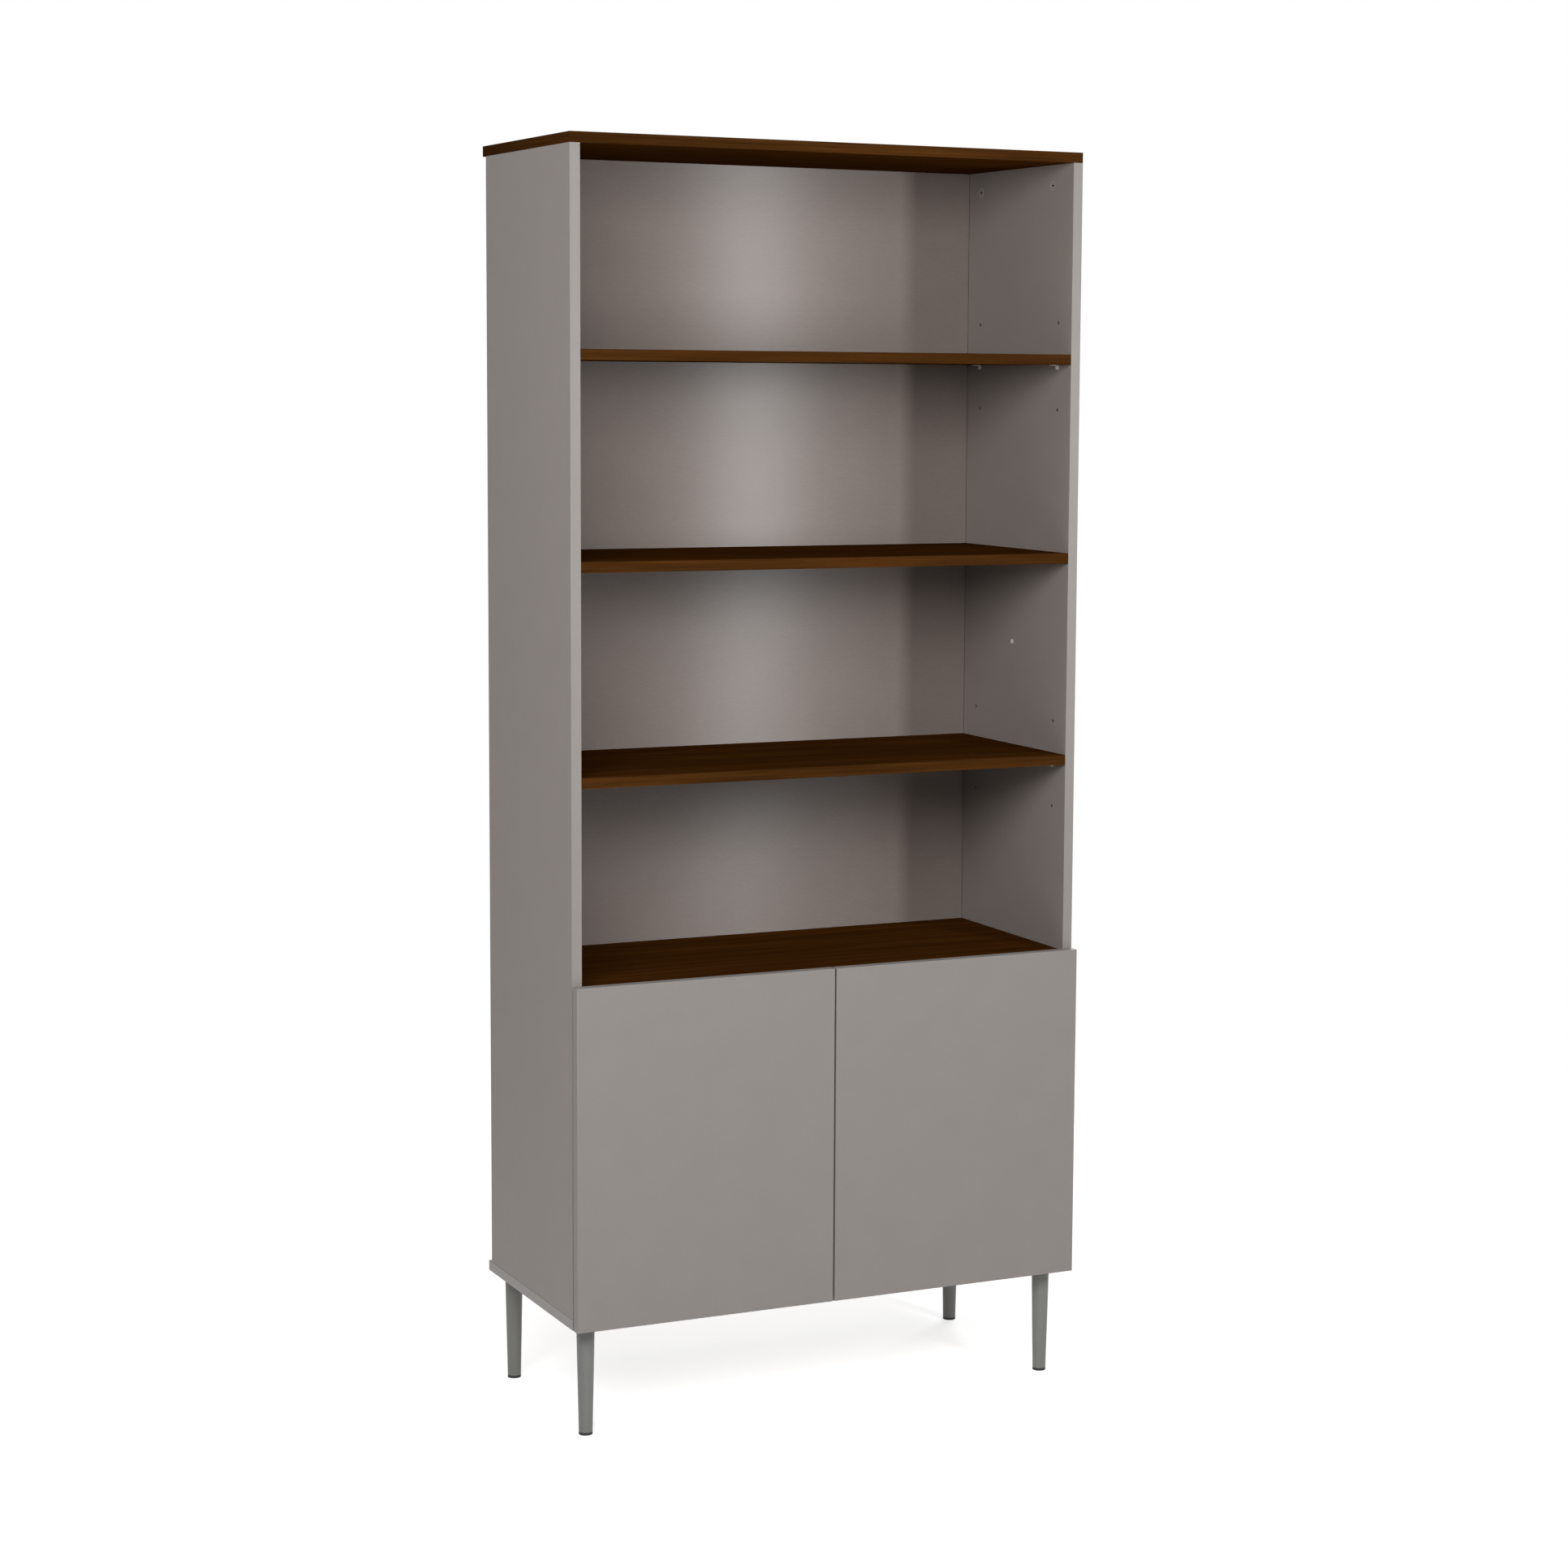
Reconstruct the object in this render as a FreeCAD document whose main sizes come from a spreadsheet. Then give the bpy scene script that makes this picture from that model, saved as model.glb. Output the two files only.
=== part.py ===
"""Bookcase with a two-door cupboard below: a knock-down cabinet on four tapered legs.

Millimetres. X runs to the right, Y to the back and Z up. The origin lies on the floor, at the centre
of the cabinet's footprint, with the doors' faces on the -Y side.
"""
import FreeCAD, Part
import os
import Sketcher

DOC = FreeCAD.newDocument("bookcase")
VECTOR = FreeCAD.Vector
NO_TURN = FreeCAD.Rotation()
NEAR = 1e-6

# ---------------------------------------------------------------------------------------------
# driving sizes
# ---------------------------------------------------------------------------------------------

SIZES = {
    # overall
    "cabinet_width": 800,
    "cabinet_depth": 370,
    "cabinet_height": 1832,
    "leg_height": 162,
    # boards; a gap shows where the groove is wider than the back sheet, in front of it
    "board": 15,
    "edge_band": 0.8,
    "rear_overhang": 13,
    "back_sheet": 3,
    "back_inset": 9.3,
    "groove_depth": 6,
    "groove_play": 0.2,
    "groove_gap": 1.2,
    # shelves: the cupboard's height, the equal spaces above it, and how far a shelf stands off them
    "cupboard_rise": 490,
    "open_spaces": 4,
    "inner_shelf_lift": 5,
    "middle_shelf_lift": 5,
    "upper_shelf_lift": 2,
    "shelf_end_play": 0.7,
    "shelf_rear_play": 1,
    # shelf pins and their bores
    "pin_radius": 2.4,
    "pin_play": 0.1,
    "pin_bore_depth": 10,
    "pin_row_front": 40,
    "pin_rear_inset": 54,
    "pin_pitch": 64,
    "collar_radius": 3.4,
    "collar_drop": 0.2,
    "collar_thickness": 2,
    "blade_length": 10,
    "blade_width": 9,
    "blade_thickness": 1.6,
    # blanking cap in the side panels
    "cap_row": 170,
    "cap_lift": 7,
    "cap_radius": 3.4,
    "cap_rim": 0.8,
    "cap_stem": 6,
    # cam joints
    "cam_radius": 7.5,
    "cam_depth": 12.5,
    "cam_play": 0.15,
    "cam_setback": 30,
    "cam_row_front": 62,
    "cam_rear_inset": 52,
    "cam_slot_width": 1.8,
    "cam_slot_length": 9,
    "cam_slot_depth": 2.5,
    "cam_channel_radius": 3.8,
    "bolt_thread_radius": 3,
    "bolt_thread_length": 11,
    "bolt_shank_radius": 2.4,
    "bolt_head_radius": 3.4,
    "bolt_head_length": 3.5,
    "bolt_bore_radius": 4,
    "dowel_radius": 4,
    "dowel_play": 0.05,
    "dowel_in_face": 11,
    "dowel_in_edge": 19,
    "dowel_row_front": 100,
    "dowel_rear_inset": 89,
    "bore_floor": 0.5,
    # doors
    "door_board": 15,
    "door_standoff": 3,
    "door_side_reveal": 0.5,
    "door_meeting_gap": 2.5,
    "door_top_rise": 3,
    "door_edge_round": 1,
    # hinges: a cup let into the door, turning on a cranked arm
    "hinge_inset": 80,
    "pivot_setin": 6.5,
    "pivot_depth": 6.5,
    "pivot_pin_radius": 1,
    "pivot_pin_half": 8.2,
    "pivot_boss_gap": 0.3,
    "pivot_boss_radius": 1.4,
    "pivot_play": 0.05,
    "cup_radius": 17.5,
    "cup_edge": 3,
    "cup_depth": 11.5,
    "cup_wall": 0.8,
    "cup_play": 0.1,
    "flange_lip": 0.8,
    "flange_thickness": 1.2,
    "flange_ear_width": 16,
    "flange_ear_offset": 6,
    "flange_ear_half": 30,
    "cup_screw_half": 24,
    "cup_screw_radius": 1.7,
    "cup_screw_length": 10,
    "cup_screw_head_radius": 3.2,
    "cup_screw_head": 1.2,
    "arm_thickness": 2,
    "arm_nose_width": 8,
    "arm_eye_radius": 2,
    "arm_run": 11,
    "arm_dip": 2.2,
    "arm_width": 16,
    "arm_length": 49,
    "arm_start": 13,
    "arm_cheek": 1.5,
    "arm_screw_front": 34,
    "arm_screw_rear": 56,
    "arm_screw_radius": 1.9,
    "arm_screw_length": 6.5,
    "arm_screw_head_radius": 3.2,
    "arm_screw_head": 1.8,
    "plate_row": 37,
    "plate_wing": 2.5,
    "plate_wing_width": 12,
    "plate_wing_half": 26,
    "plate_spine": 5.5,
    "plate_spine_width": 12,
    "plate_spine_front": 14,
    "plate_spine_length": 44,
    "plate_play": 0.2,
    "plate_screw_half": 16,
    "plate_screw_radius": 2.4,
    "plate_screw_length": 13,
    "plate_screw_head_radius": 3.8,
    "plate_screw_head": 1.5,
    "screw_play": 0.05,
    # push latches below the cupboard top
    "latch_offset": 40,
    "latch_front": 4,
    "latch_length": 72,
    "latch_width": 15,
    "latch_height": 13,
    "latch_ear_width": 33,
    "latch_ear_length": 11,
    "latch_ear_thickness": 2,
    "latch_ear_front": 9,
    "latch_ear_rear": 50,
    "latch_round": 1.5,
    "latch_screw_spread": 12,
    "latch_screw_radius": 1.4,
    "latch_screw_length": 12,
    "latch_screw_head_radius": 2.8,
    "latch_screw_head": 1.2,
    "plunger_radius": 4,
    "plunger_play": 0.15,
    "plunger_travel": 20,
    "plunger_hold": 26,
    "plunger_gap": 0.3,
    "magnet_radius": 2.8,
    "magnet_length": 5,
    "strike_radius": 9,
    "strike_thickness": 1.2,
    "strike_screw_radius": 1.5,
    "strike_screw_length": 10,
    "strike_screw_head_radius": 2.7,
    "strike_screw_head": 0.6,
    # legs
    "leg_inset_side": 30,
    "leg_inset_front": 28,
    "leg_inset_rear": 26.5,
    "leg_top_radius": 13.2,
    "leg_foot_radius": 10,
    "leg_wall": 1.2,
    "leg_plate_size": 50,
    "leg_plate_thickness": 2.5,
    "leg_plate_round": 8,
    "leg_screw_half": 18.5,
    "leg_screw_radius": 2,
    "leg_screw_length": 12,
    "leg_screw_head_radius": 3.6,
    "leg_screw_head": 1.6,
    "glide_height": 4,
    "glide_radius": 10,
    "glide_plug": 12,
    "glide_play": 0.1,
}

# sizes that follow from the driving ones
PLACES = {
    "carcass_front": "Size.door_board + Size.door_standoff - Size.cabinet_depth / 2",
    "carcass_depth": "Size.cabinet_depth - Size.door_board - Size.door_standoff",
    "carcass_height": "Size.cabinet_height - Size.leg_height",
    "side_height": "Place.carcass_height - 2 * Size.board",
    "side_depth": "Place.carcass_depth - Size.rear_overhang",
    "inner_width": "Size.cabinet_width - 2 * Size.board",
    "shelf_pitch": "(Place.carcass_height - Size.cupboard_rise) / Size.open_spaces",
    "inner_shelf_rise": "Size.cupboard_rise / 2 + Size.inner_shelf_lift",
    "lower_shelf_rise": "Size.cupboard_rise + Place.shelf_pitch",
    "middle_shelf_rise": "Size.cupboard_rise + 2 * Place.shelf_pitch + Size.middle_shelf_lift",
    "upper_shelf_rise": "Size.cupboard_rise + 3 * Place.shelf_pitch + Size.upper_shelf_lift",
    "cap_rise": "(Place.lower_shelf_rise + Place.middle_shelf_rise) / 2 + Size.cap_lift",
    "cam_row_rear": "Place.side_depth - Size.cam_rear_inset",
    "dowel_row_rear": "Place.side_depth - Size.dowel_rear_inset",
    "pin_row_rear": "Place.side_depth - Size.pin_rear_inset",
    "groove_rear": "Place.side_depth - Size.back_inset",
    "sheet_front": "Place.groove_rear - Size.groove_play - Size.back_sheet",
    "groove_front": "Place.sheet_front - Size.groove_gap",
    "shelf_rear": "Place.sheet_front - Size.shelf_rear_play",
    "half_board": "Size.board / 2",
    "outer_left": "-Size.cabinet_width / 2",
    "inner_left": "Place.outer_left + Size.board",
    "sheet_bite": "Size.groove_depth - Size.groove_play",
    "bolt_bore_depth": "Size.cam_setback",
    "dowel_bore_radius": "Size.dowel_radius + Size.dowel_play",
    "dowel_face_bore": "Size.dowel_in_face + Size.bore_floor",
    "dowel_edge_bore": "Size.dowel_in_edge + Size.bore_floor",
    "pin_bore_radius": "Size.pin_radius + Size.pin_play",
    "door_width": "(Size.cabinet_width - 2 * Size.door_side_reveal - Size.door_meeting_gap) / 2",
    "door_height": "Size.cupboard_rise + Size.door_top_rise",
    "door_inner_face": "Place.carcass_front - Size.door_standoff",
    "pivot_x": "Place.outer_left + Size.door_side_reveal + Size.pivot_setin",
    "pivot_y": "Place.door_inner_face - Size.pivot_depth",
    "pivot_to_front": "Size.pivot_depth + Size.door_standoff",
    "pivot_to_side": "Size.board - Size.door_side_reveal - Size.pivot_setin",
    "cup_centre": "Size.cup_edge + Size.cup_radius",
    "pivot_to_cup": "Place.cup_centre - Size.pivot_setin",
    "lower_hinge": "Size.leg_height + Size.hinge_inset",
    "upper_hinge": "Size.leg_height + Place.door_height - Size.hinge_inset",
    "web_inner": "Place.pivot_to_side + Size.plate_spine + Size.plate_play",
    "latch_ceiling": "Size.leg_height + Size.cupboard_rise - Size.board",
    "latch_axis": "Place.latch_ceiling - Size.latch_height / 2",
    "plunger_nose": "Place.door_inner_face + Size.strike_thickness + Size.plunger_gap",
    "plunger_length": "Size.plunger_travel + Size.plunger_hold",
    "leg_x": "Size.cabinet_width / 2 - Size.leg_inset_side",
    "leg_front_y": "Place.carcass_front + Size.leg_inset_front",
    "leg_rear_y": "Size.cabinet_depth / 2 - Size.leg_inset_rear",
    "leg_tube_length": "Size.leg_height - Size.leg_plate_thickness - Size.glide_height",
    "glide_plug_radius": "Size.leg_foot_radius - Size.leg_wall - Size.glide_play",
}


def make_sheet(name, cells, prefix=""):
    """A spreadsheet with one named cell in each row."""
    made = DOC.addObject("Spreadsheet::Sheet", name)
    for row, (alias, content) in enumerate(cells.items(), start=1):
        made.set(f"A{row}", alias)
        made.set(f"B{row}", f"{prefix}{content}")
        made.setAlias(f"B{row}", alias)
    return made


SIZE = make_sheet("Size", SIZES)
PLACE = make_sheet("Place", {alias: text.replace("Place.", "") for alias, text in PLACES.items()}, "=")
DOC.recompute()


# ---------------------------------------------------------------------------------------------
# helpers
# ---------------------------------------------------------------------------------------------

def value(expression):
    """The number that an expression gives now."""
    found = SIZE.evalExpression(expression)
    return float(getattr(found, "Value", found))


def bind(target, properties):
    """Ties each property to its expression."""
    for name, expression in properties.items():
        target.setExpression(name, expression)
    return target


def place(target, x="0", y="0", z="0", turn=NO_TURN):
    """Puts an object at a bound position, turned by a fixed rotation."""
    target.Placement = FreeCAD.Placement(VECTOR(0, 0, 0), turn)
    return bind(target, {"Placement.Base.x": x, "Placement.Base.y": y, "Placement.Base.z": z})


def box(name, size, x="0", y="0", z="0"):
    """A block of a bound length, width and height, placed by its lowest corner."""
    made = DOC.addObject("Part::Box", name)
    bind(made, dict(zip(("Length", "Width", "Height"), size)))
    return place(made, x, y, z)


def cylinder(name, radius, height, x="0", y="0", z="0", turn=NO_TURN):
    """A cylinder that stands on a bound point and rises along its turned Z axis."""
    made = DOC.addObject("Part::Cylinder", name)
    bind(made, {"Radius": radius, "Height": height})
    return place(made, x, y, z, turn)


def fuse(name, shapes):
    made = DOC.addObject("Part::MultiFuse", name)
    made.Shapes = shapes
    made.Refine = True
    return made


def cut(name, base, tools):
    """The base less every tool."""
    made = DOC.addObject("Part::Cut", name)
    made.Base = base
    made.Tool = tools[0] if len(tools) == 1 else fuse(f"{name}_tools", tools)
    return made


def copy(name, source, x, y, z, turn=NO_TURN):
    """Another instance of a piece, at its own bound place."""
    made = DOC.addObject("App::Link", name)
    made.LinkedObject = source
    return place(made, x, y, z, turn)


def group(name, members):
    """Separate solids kept together as one sub-part."""
    made = DOC.addObject("Part::Compound", name)
    made.Links = members
    return made


def mirrored(name, source):
    """The same piece on the cabinet's other side."""
    made = DOC.addObject("Part::Mirroring", name)
    made.Source = source
    made.Normal = VECTOR(1, 0, 0)
    made.Base = VECTOR(0, 0, 0)
    return made


def both_sides(name, left_members):
    """The left side's solids and their mirror images, as one sub-part."""
    left = group(f"{name}_left", left_members)
    return group(name, [left, mirrored(f"{name}_right", left)])


def body(name, x="0", y="0", z="0"):
    return place(DOC.addObject("PartDesign::Body", name), x, y, z)


def sketch(owner, name, plane, offset="0"):
    """A sketch on one of the body's origin planes, moved along that plane's normal."""
    made = owner.newObject("Sketcher::SketchObject", name)
    datum = next(item for item in owner.Origin.OriginFeatures if item.Role == plane)
    made.AttachmentSupport = [(datum, "")]
    made.MapMode = "FlatFace"
    made.setExpression("AttachmentOffset.Base.z", offset)
    return made


def fix_point(drawing, geometry, vertex, x, y):
    """Holds a point of the sketch at two bound coordinates; 0 means on the axis."""
    for kind, axis, expression in (("DistanceX", -2, x), ("DistanceY", -1, y)):
        if expression == "0":
            drawing.addConstraint(Sketcher.Constraint("PointOnObject", geometry, vertex, axis))
            continue
        rule = Sketcher.Constraint(kind, -1, 1, geometry, vertex, value(expression))
        drawing.setExpression(f"Constraints[{drawing.addConstraint(rule)}]", expression)


def outline(drawing, corners):
    """A closed outline of straight lines through bound corners."""
    points = [VECTOR(value(x), value(y), 0) for x, y in corners]
    count = len(points)
    for index in range(count):
        drawing.addGeometry(Part.LineSegment(points[index], points[(index + 1) % count]), False)
    for index in range(count):
        drawing.addConstraint(Sketcher.Constraint("Coincident", index, 2, (index + 1) % count, 1))
    for index, (x, y) in enumerate(corners):
        fix_point(drawing, index, 1, x, y)


def rectangle(drawing, width, depth, x="0", y="0"):
    right = width if x == "0" else f"{x} + {width}"
    far = depth if y == "0" else f"{y} + {depth}"
    outline(drawing, [(x, y), (right, y), (right, far), (x, far)])


def circles(drawing, radius, spots):
    """Equal circles at bound centres."""
    for x, y in spots:
        centre = VECTOR(value(x), value(y), 0)
        index = drawing.addGeometry(Part.Circle(centre, VECTOR(0, 0, 1), value(radius)), False)
        fix_point(drawing, index, 3, x, y)
        rule = drawing.addConstraint(Sketcher.Constraint("Radius", index, value(radius)))
        drawing.setExpression(f"Constraints[{rule}]", radius)


def pad(owner, name, drawing, length):
    made = owner.newObject("PartDesign::Pad", name)
    made.Profile = drawing
    return bind(made, {"Length": length})


def pocket(owner, name, drawing, depth, along_normal=False):
    """A pocket of bound depth; it must take material away, or the model is wrong."""
    DOC.recompute()
    before = owner.Shape.Volume
    made = owner.newObject("PartDesign::Pocket", name)
    made.Profile = drawing
    made.Reversed = along_normal
    bind(made, {"Length": depth})
    DOC.recompute()
    if owner.Shape.Volume >= before:
        raise RuntimeError(f"{name} cuts nothing")
    return made


def round_edges(owner, name, feature, edges, radius):
    made = owner.newObject("PartDesign::Fillet", name)
    made.Base = (feature, edges)
    bind(made, {"Radius": radius})
    DOC.recompute()
    return made


def bores(owner, name, plane, offset, radius, depth, spots, along_normal=False):
    """Equal blind bores from one face."""
    drawing = sketch(owner, f"{name}_centres", plane, offset)
    circles(drawing, radius, spots)
    return pocket(owner, name, drawing, depth, along_normal)


def screw(name, shank_radius, length, head_radius, head_height):
    """A pan-head screw: the head's seat is at the origin, the shank runs down and the head up."""
    shank = cylinder(f"{name}_shank", shank_radius, length, z=f"-({length})")
    head = cylinder(f"{name}_head", head_radius, head_height)
    return fuse(name, [shank, head])


PARTS = {}


def keep(label, made):
    """Names a finished sub-part."""
    made.Label = label
    PARTS[label] = made
    return made


# turns that carry a piece's own +Z axis to a direction of the cabinet
Z_TO_BACK = FreeCAD.Rotation(VECTOR(1, 0, 0), -90)
Z_TO_FRONT = FreeCAD.Rotation(VECTOR(1, 0, 0), 90)
Z_TO_RIGHT = FreeCAD.Rotation(VECTOR(0, 1, 0), 90)
Z_DOWN = FreeCAD.Rotation(VECTOR(1, 0, 0), 180)
HALF_TURN = FreeCAD.Rotation(VECTOR(0, 0, 1), 180)

CAM_ROWS = ("Size.cam_row_front", "Place.cam_row_rear")
DOWEL_ROWS = ("Size.dowel_row_front", "Place.dowel_row_rear")
PIN_ROWS = ("Size.pin_row_front", "Place.pin_row_rear")
LOOSE_SHELVES = ("inner_shelf", "lower_shelf", "upper_shelf")
FIXED_RISES = ("Size.cupboard_rise", "Place.middle_shelf_rise")
LATCH_SCREW_SPOTS = (
    ("-Size.latch_screw_spread", "Size.latch_ear_front"),
    ("Size.latch_screw_spread", "Size.latch_ear_rear"),
)
HINGES = {"lower": "Place.lower_hinge", "upper": "Place.upper_hinge"}


# ---------------------------------------------------------------------------------------------
# carcass boards
# ---------------------------------------------------------------------------------------------

def side_panel():
    """The left side: a grooved board with its pin bores, cam bores, edge bores and screw holes."""
    panel = body("SidePanel", "Place.outer_left", "Place.carcass_front", "Size.leg_height + Size.board")
    section = sketch(panel, "SideSection", "XY_Plane")
    outline(section, [
        ("0", "Size.edge_band"),
        ("Size.board", "Size.edge_band"),
        ("Size.board", "Place.groove_front"),
        ("Size.board - Size.groove_depth", "Place.groove_front"),
        ("Size.board - Size.groove_depth", "Place.groove_rear"),
        ("Size.board", "Place.groove_rear"),
        ("Size.board", "Place.side_depth"),
        ("0", "Place.side_depth"),
    ])
    pad(panel, "SidePad", section, "Place.side_height")

    pin_spots = [("Size.cap_row", "Place.cap_rise - Size.board")]
    for shelf in LOOSE_SHELVES:
        axis = f"Place.{shelf}_rise - 2 * Size.board - Size.pin_radius"
        for step in (" - Size.pin_pitch", "", " + Size.pin_pitch"):
            pin_spots += [(row, axis + step) for row in PIN_ROWS]
    bores(panel, "PinBores", "YZ_Plane", "Size.board", "Place.pin_bore_radius", "Size.pin_bore_depth",
          pin_spots)

    cam_spots = [(row, "Size.cam_setback") for row in CAM_ROWS]
    cam_spots += [(row, "Place.side_height - Size.cam_setback") for row in CAM_ROWS]
    bores(panel, "CamBores", "YZ_Plane", "Size.board", "Size.cam_radius", "Size.cam_depth", cam_spots)

    middles = [f"{rise} - Size.board - Place.half_board" for rise in FIXED_RISES]
    bores(panel, "BoltThreads", "YZ_Plane", "Size.board", "Size.bolt_thread_radius + Size.screw_play",
          "Size.bolt_thread_length + Size.bore_floor", [(row, mid) for mid in middles for row in CAM_ROWS])
    bores(panel, "DowelFaceBores", "YZ_Plane", "Size.board", "Place.dowel_bore_radius",
          "Place.dowel_face_bore", [(row, mid) for mid in middles for row in DOWEL_ROWS])

    hinge_spots = []
    for height in HINGES.values():
        for sign in ("-", "+"):
            rise = f"{height} - Size.leg_height - Size.board {sign} Size.plate_screw_half"
            hinge_spots.append(("Size.plate_row", rise))
    bores(panel, "HingeScrewHoles", "YZ_Plane", "Size.board", "Size.plate_screw_radius + Size.screw_play",
          "Size.plate_screw_length - Size.plate_wing + Size.bore_floor", hinge_spots)

    for name, level, upward in (("Upper", "Place.side_height", False), ("Lower", "0", True)):
        bores(panel, f"{name}BoltBores", "XY_Plane", level, "Size.bolt_bore_radius", "Place.bolt_bore_depth",
              [("Place.half_board", row) for row in CAM_ROWS], upward)
        bores(panel, f"{name}DowelBores", "XY_Plane", level, "Place.dowel_bore_radius",
              "Place.dowel_edge_bore", [("Place.half_board", row) for row in DOWEL_ROWS], upward)
    return panel


def end_spots(rows):
    """The same rows of bores near a full-width board's two ends, over the sides' middles."""
    ends = ("Place.half_board", "Size.cabinet_width - Place.half_board")
    return [(end, row) for end in ends for row in rows]


def wide_board(name, level, joint_level, into_board):
    """A full-width board that takes the sides' bolts, dowels and the back sheet on its inner face."""
    made = body(name, "Place.outer_left", "Place.carcass_front", level)
    face = sketch(made, f"{name}Face", "XY_Plane")
    rectangle(face, "Size.cabinet_width - 2 * Size.edge_band", "Place.carcass_depth - Size.edge_band",
              "Size.edge_band", "Size.edge_band")
    pad(made, f"{name}Pad", face, "Size.board")
    groove = sketch(made, f"{name}Groove", "XY_Plane", joint_level)
    rectangle(groove, "Place.inner_width + 2 * Size.groove_depth", "Place.groove_rear - Place.groove_front",
              "Size.board - Size.groove_depth", "Place.groove_front")
    pocket(made, f"{name}GroovePocket", groove, "Size.groove_depth", into_board)
    bores(made, f"{name}BoltThreads", "XY_Plane", joint_level, "Size.bolt_thread_radius + Size.screw_play",
          "Size.bolt_thread_length + Size.bore_floor", end_spots(CAM_ROWS), into_board)
    bores(made, f"{name}DowelBores", "XY_Plane", joint_level, "Place.dowel_bore_radius",
          "Place.dowel_face_bore", end_spots(DOWEL_ROWS), into_board)
    return made


def leg_spots():
    """The four legs' centres in the bottom board's own frame."""
    xs = ("Size.leg_inset_side", "Size.cabinet_width - Size.leg_inset_side")
    ys = ("Size.leg_inset_front", "Place.carcass_depth - Size.leg_inset_rear")
    return [(x, y) for x in xs for y in ys]


def bottom_board():
    made = wide_board("BottomBoard", "Size.leg_height", "Size.board", False)
    spots = []
    for x, y in leg_spots():
        for along in ("-", "+"):
            for across in ("-", "+"):
                spots.append((f"{x} {along} Size.leg_screw_half", f"{y} {across} Size.leg_screw_half"))
    bores(made, "LegScrewHoles", "XY_Plane", "0", "Size.leg_screw_radius + Size.screw_play",
          "Size.leg_screw_length - Size.leg_plate_thickness + Size.bore_floor", spots, True)
    return made


def fixed_shelf(name, rise):
    """A shelf held between the sides by cams in its underside."""
    made = body(name, "Place.inner_left", "Place.carcass_front", f"Size.leg_height + {rise} - Size.board")
    face = sketch(made, f"{name}Face", "XY_Plane")
    rectangle(face, "Place.inner_width", "Place.shelf_rear - Size.edge_band", "0", "Size.edge_band")
    pad(made, f"{name}Pad", face, "Size.board")
    cams = [(end, row) for end in ("Size.cam_setback", "Place.inner_width - Size.cam_setback")
            for row in CAM_ROWS]
    bores(made, f"{name}CamBores", "XY_Plane", "0", "Size.cam_radius", "Size.cam_depth", cams, True)
    for end, level, inward in (("Left", "0", True), ("Right", "Place.inner_width", False)):
        bores(made, f"{name}{end}BoltBores", "YZ_Plane", level, "Size.bolt_bore_radius",
              "Place.bolt_bore_depth", [(row, "Place.half_board") for row in CAM_ROWS], inward)
        bores(made, f"{name}{end}DowelBores", "YZ_Plane", level, "Place.dowel_bore_radius",
              "Place.dowel_edge_bore", [(row, "Place.half_board") for row in DOWEL_ROWS], inward)
    return made


def cupboard_top():
    """The fixed shelf that closes the cupboard, with the latches' screw holes in its underside."""
    made = fixed_shelf("CupboardTop", "Size.cupboard_rise")
    spots = []
    for spread, start in LATCH_SCREW_SPOTS:
        y = f"Size.latch_front + {start} + Size.latch_ear_length / 2"
        offset = f"(Size.latch_offset - ({spread}))"
        spots += [(f"Place.inner_width / 2 - {offset}", y), (f"Place.inner_width / 2 + {offset}", y)]
    bores(made, "LatchScrewHoles", "XY_Plane", "0", "Size.latch_screw_radius + Size.screw_play",
          "Size.latch_screw_length - Size.latch_ear_thickness + Size.bore_floor", spots, True)
    return made


def loose_shelf(name, rise):
    """A shelf that lies on four pins, a little shorter than the space between the sides."""
    made = body(name, "Place.inner_left + Size.shelf_end_play", "Place.carcass_front",
                f"Size.leg_height + {rise} - Size.board")
    face = sketch(made, f"{name}Face", "XY_Plane")
    rectangle(face, "Place.inner_width - 2 * Size.shelf_end_play", "Place.shelf_rear - Size.edge_band",
              "0", "Size.edge_band")
    pad(made, f"{name}Pad", face, "Size.board")
    return made


def back_sheet():
    made = body("BackSheet", "Place.inner_left - Place.sheet_bite",
                "Place.carcass_front + Place.sheet_front",
                "Size.leg_height + Size.board - Place.sheet_bite")
    face = sketch(made, "BackSheetFace", "XY_Plane")
    rectangle(face, "Place.inner_width + 2 * Place.sheet_bite", "Size.back_sheet")
    pad(made, "BackSheetPad", face, "Place.side_height + 2 * Place.sheet_bite")
    return made


def shelf_band(name, rise, play="0"):
    """The thin strip glued to a shelf's front edge."""
    return box(name, (f"Place.inner_width - 2 * {play}", "Size.edge_band", "Size.board"),
               f"Place.inner_left + {play}", "Place.carcass_front", f"Size.leg_height + {rise} - Size.board")


def wide_band(name, level):
    """The strips along a full-width board's front and its two ends."""
    ends = (("Place.outer_left", "Left"), ("Size.cabinet_width / 2 - Size.edge_band", "Right"))
    strips = [box(f"{name}Front", ("Size.cabinet_width - 2 * Size.edge_band", "Size.edge_band", "Size.board"),
                  "Place.outer_left + Size.edge_band", "Place.carcass_front", level)]
    for x, end in ends:
        strips.append(box(f"{name}{end}", ("Size.edge_band", "Place.carcass_depth", "Size.board"),
                          x, "Place.carcass_front", level))
    return strips


TOP_LEVEL = "Size.cabinet_height - Size.board"
PLAY = "Size.shelf_end_play"

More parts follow.
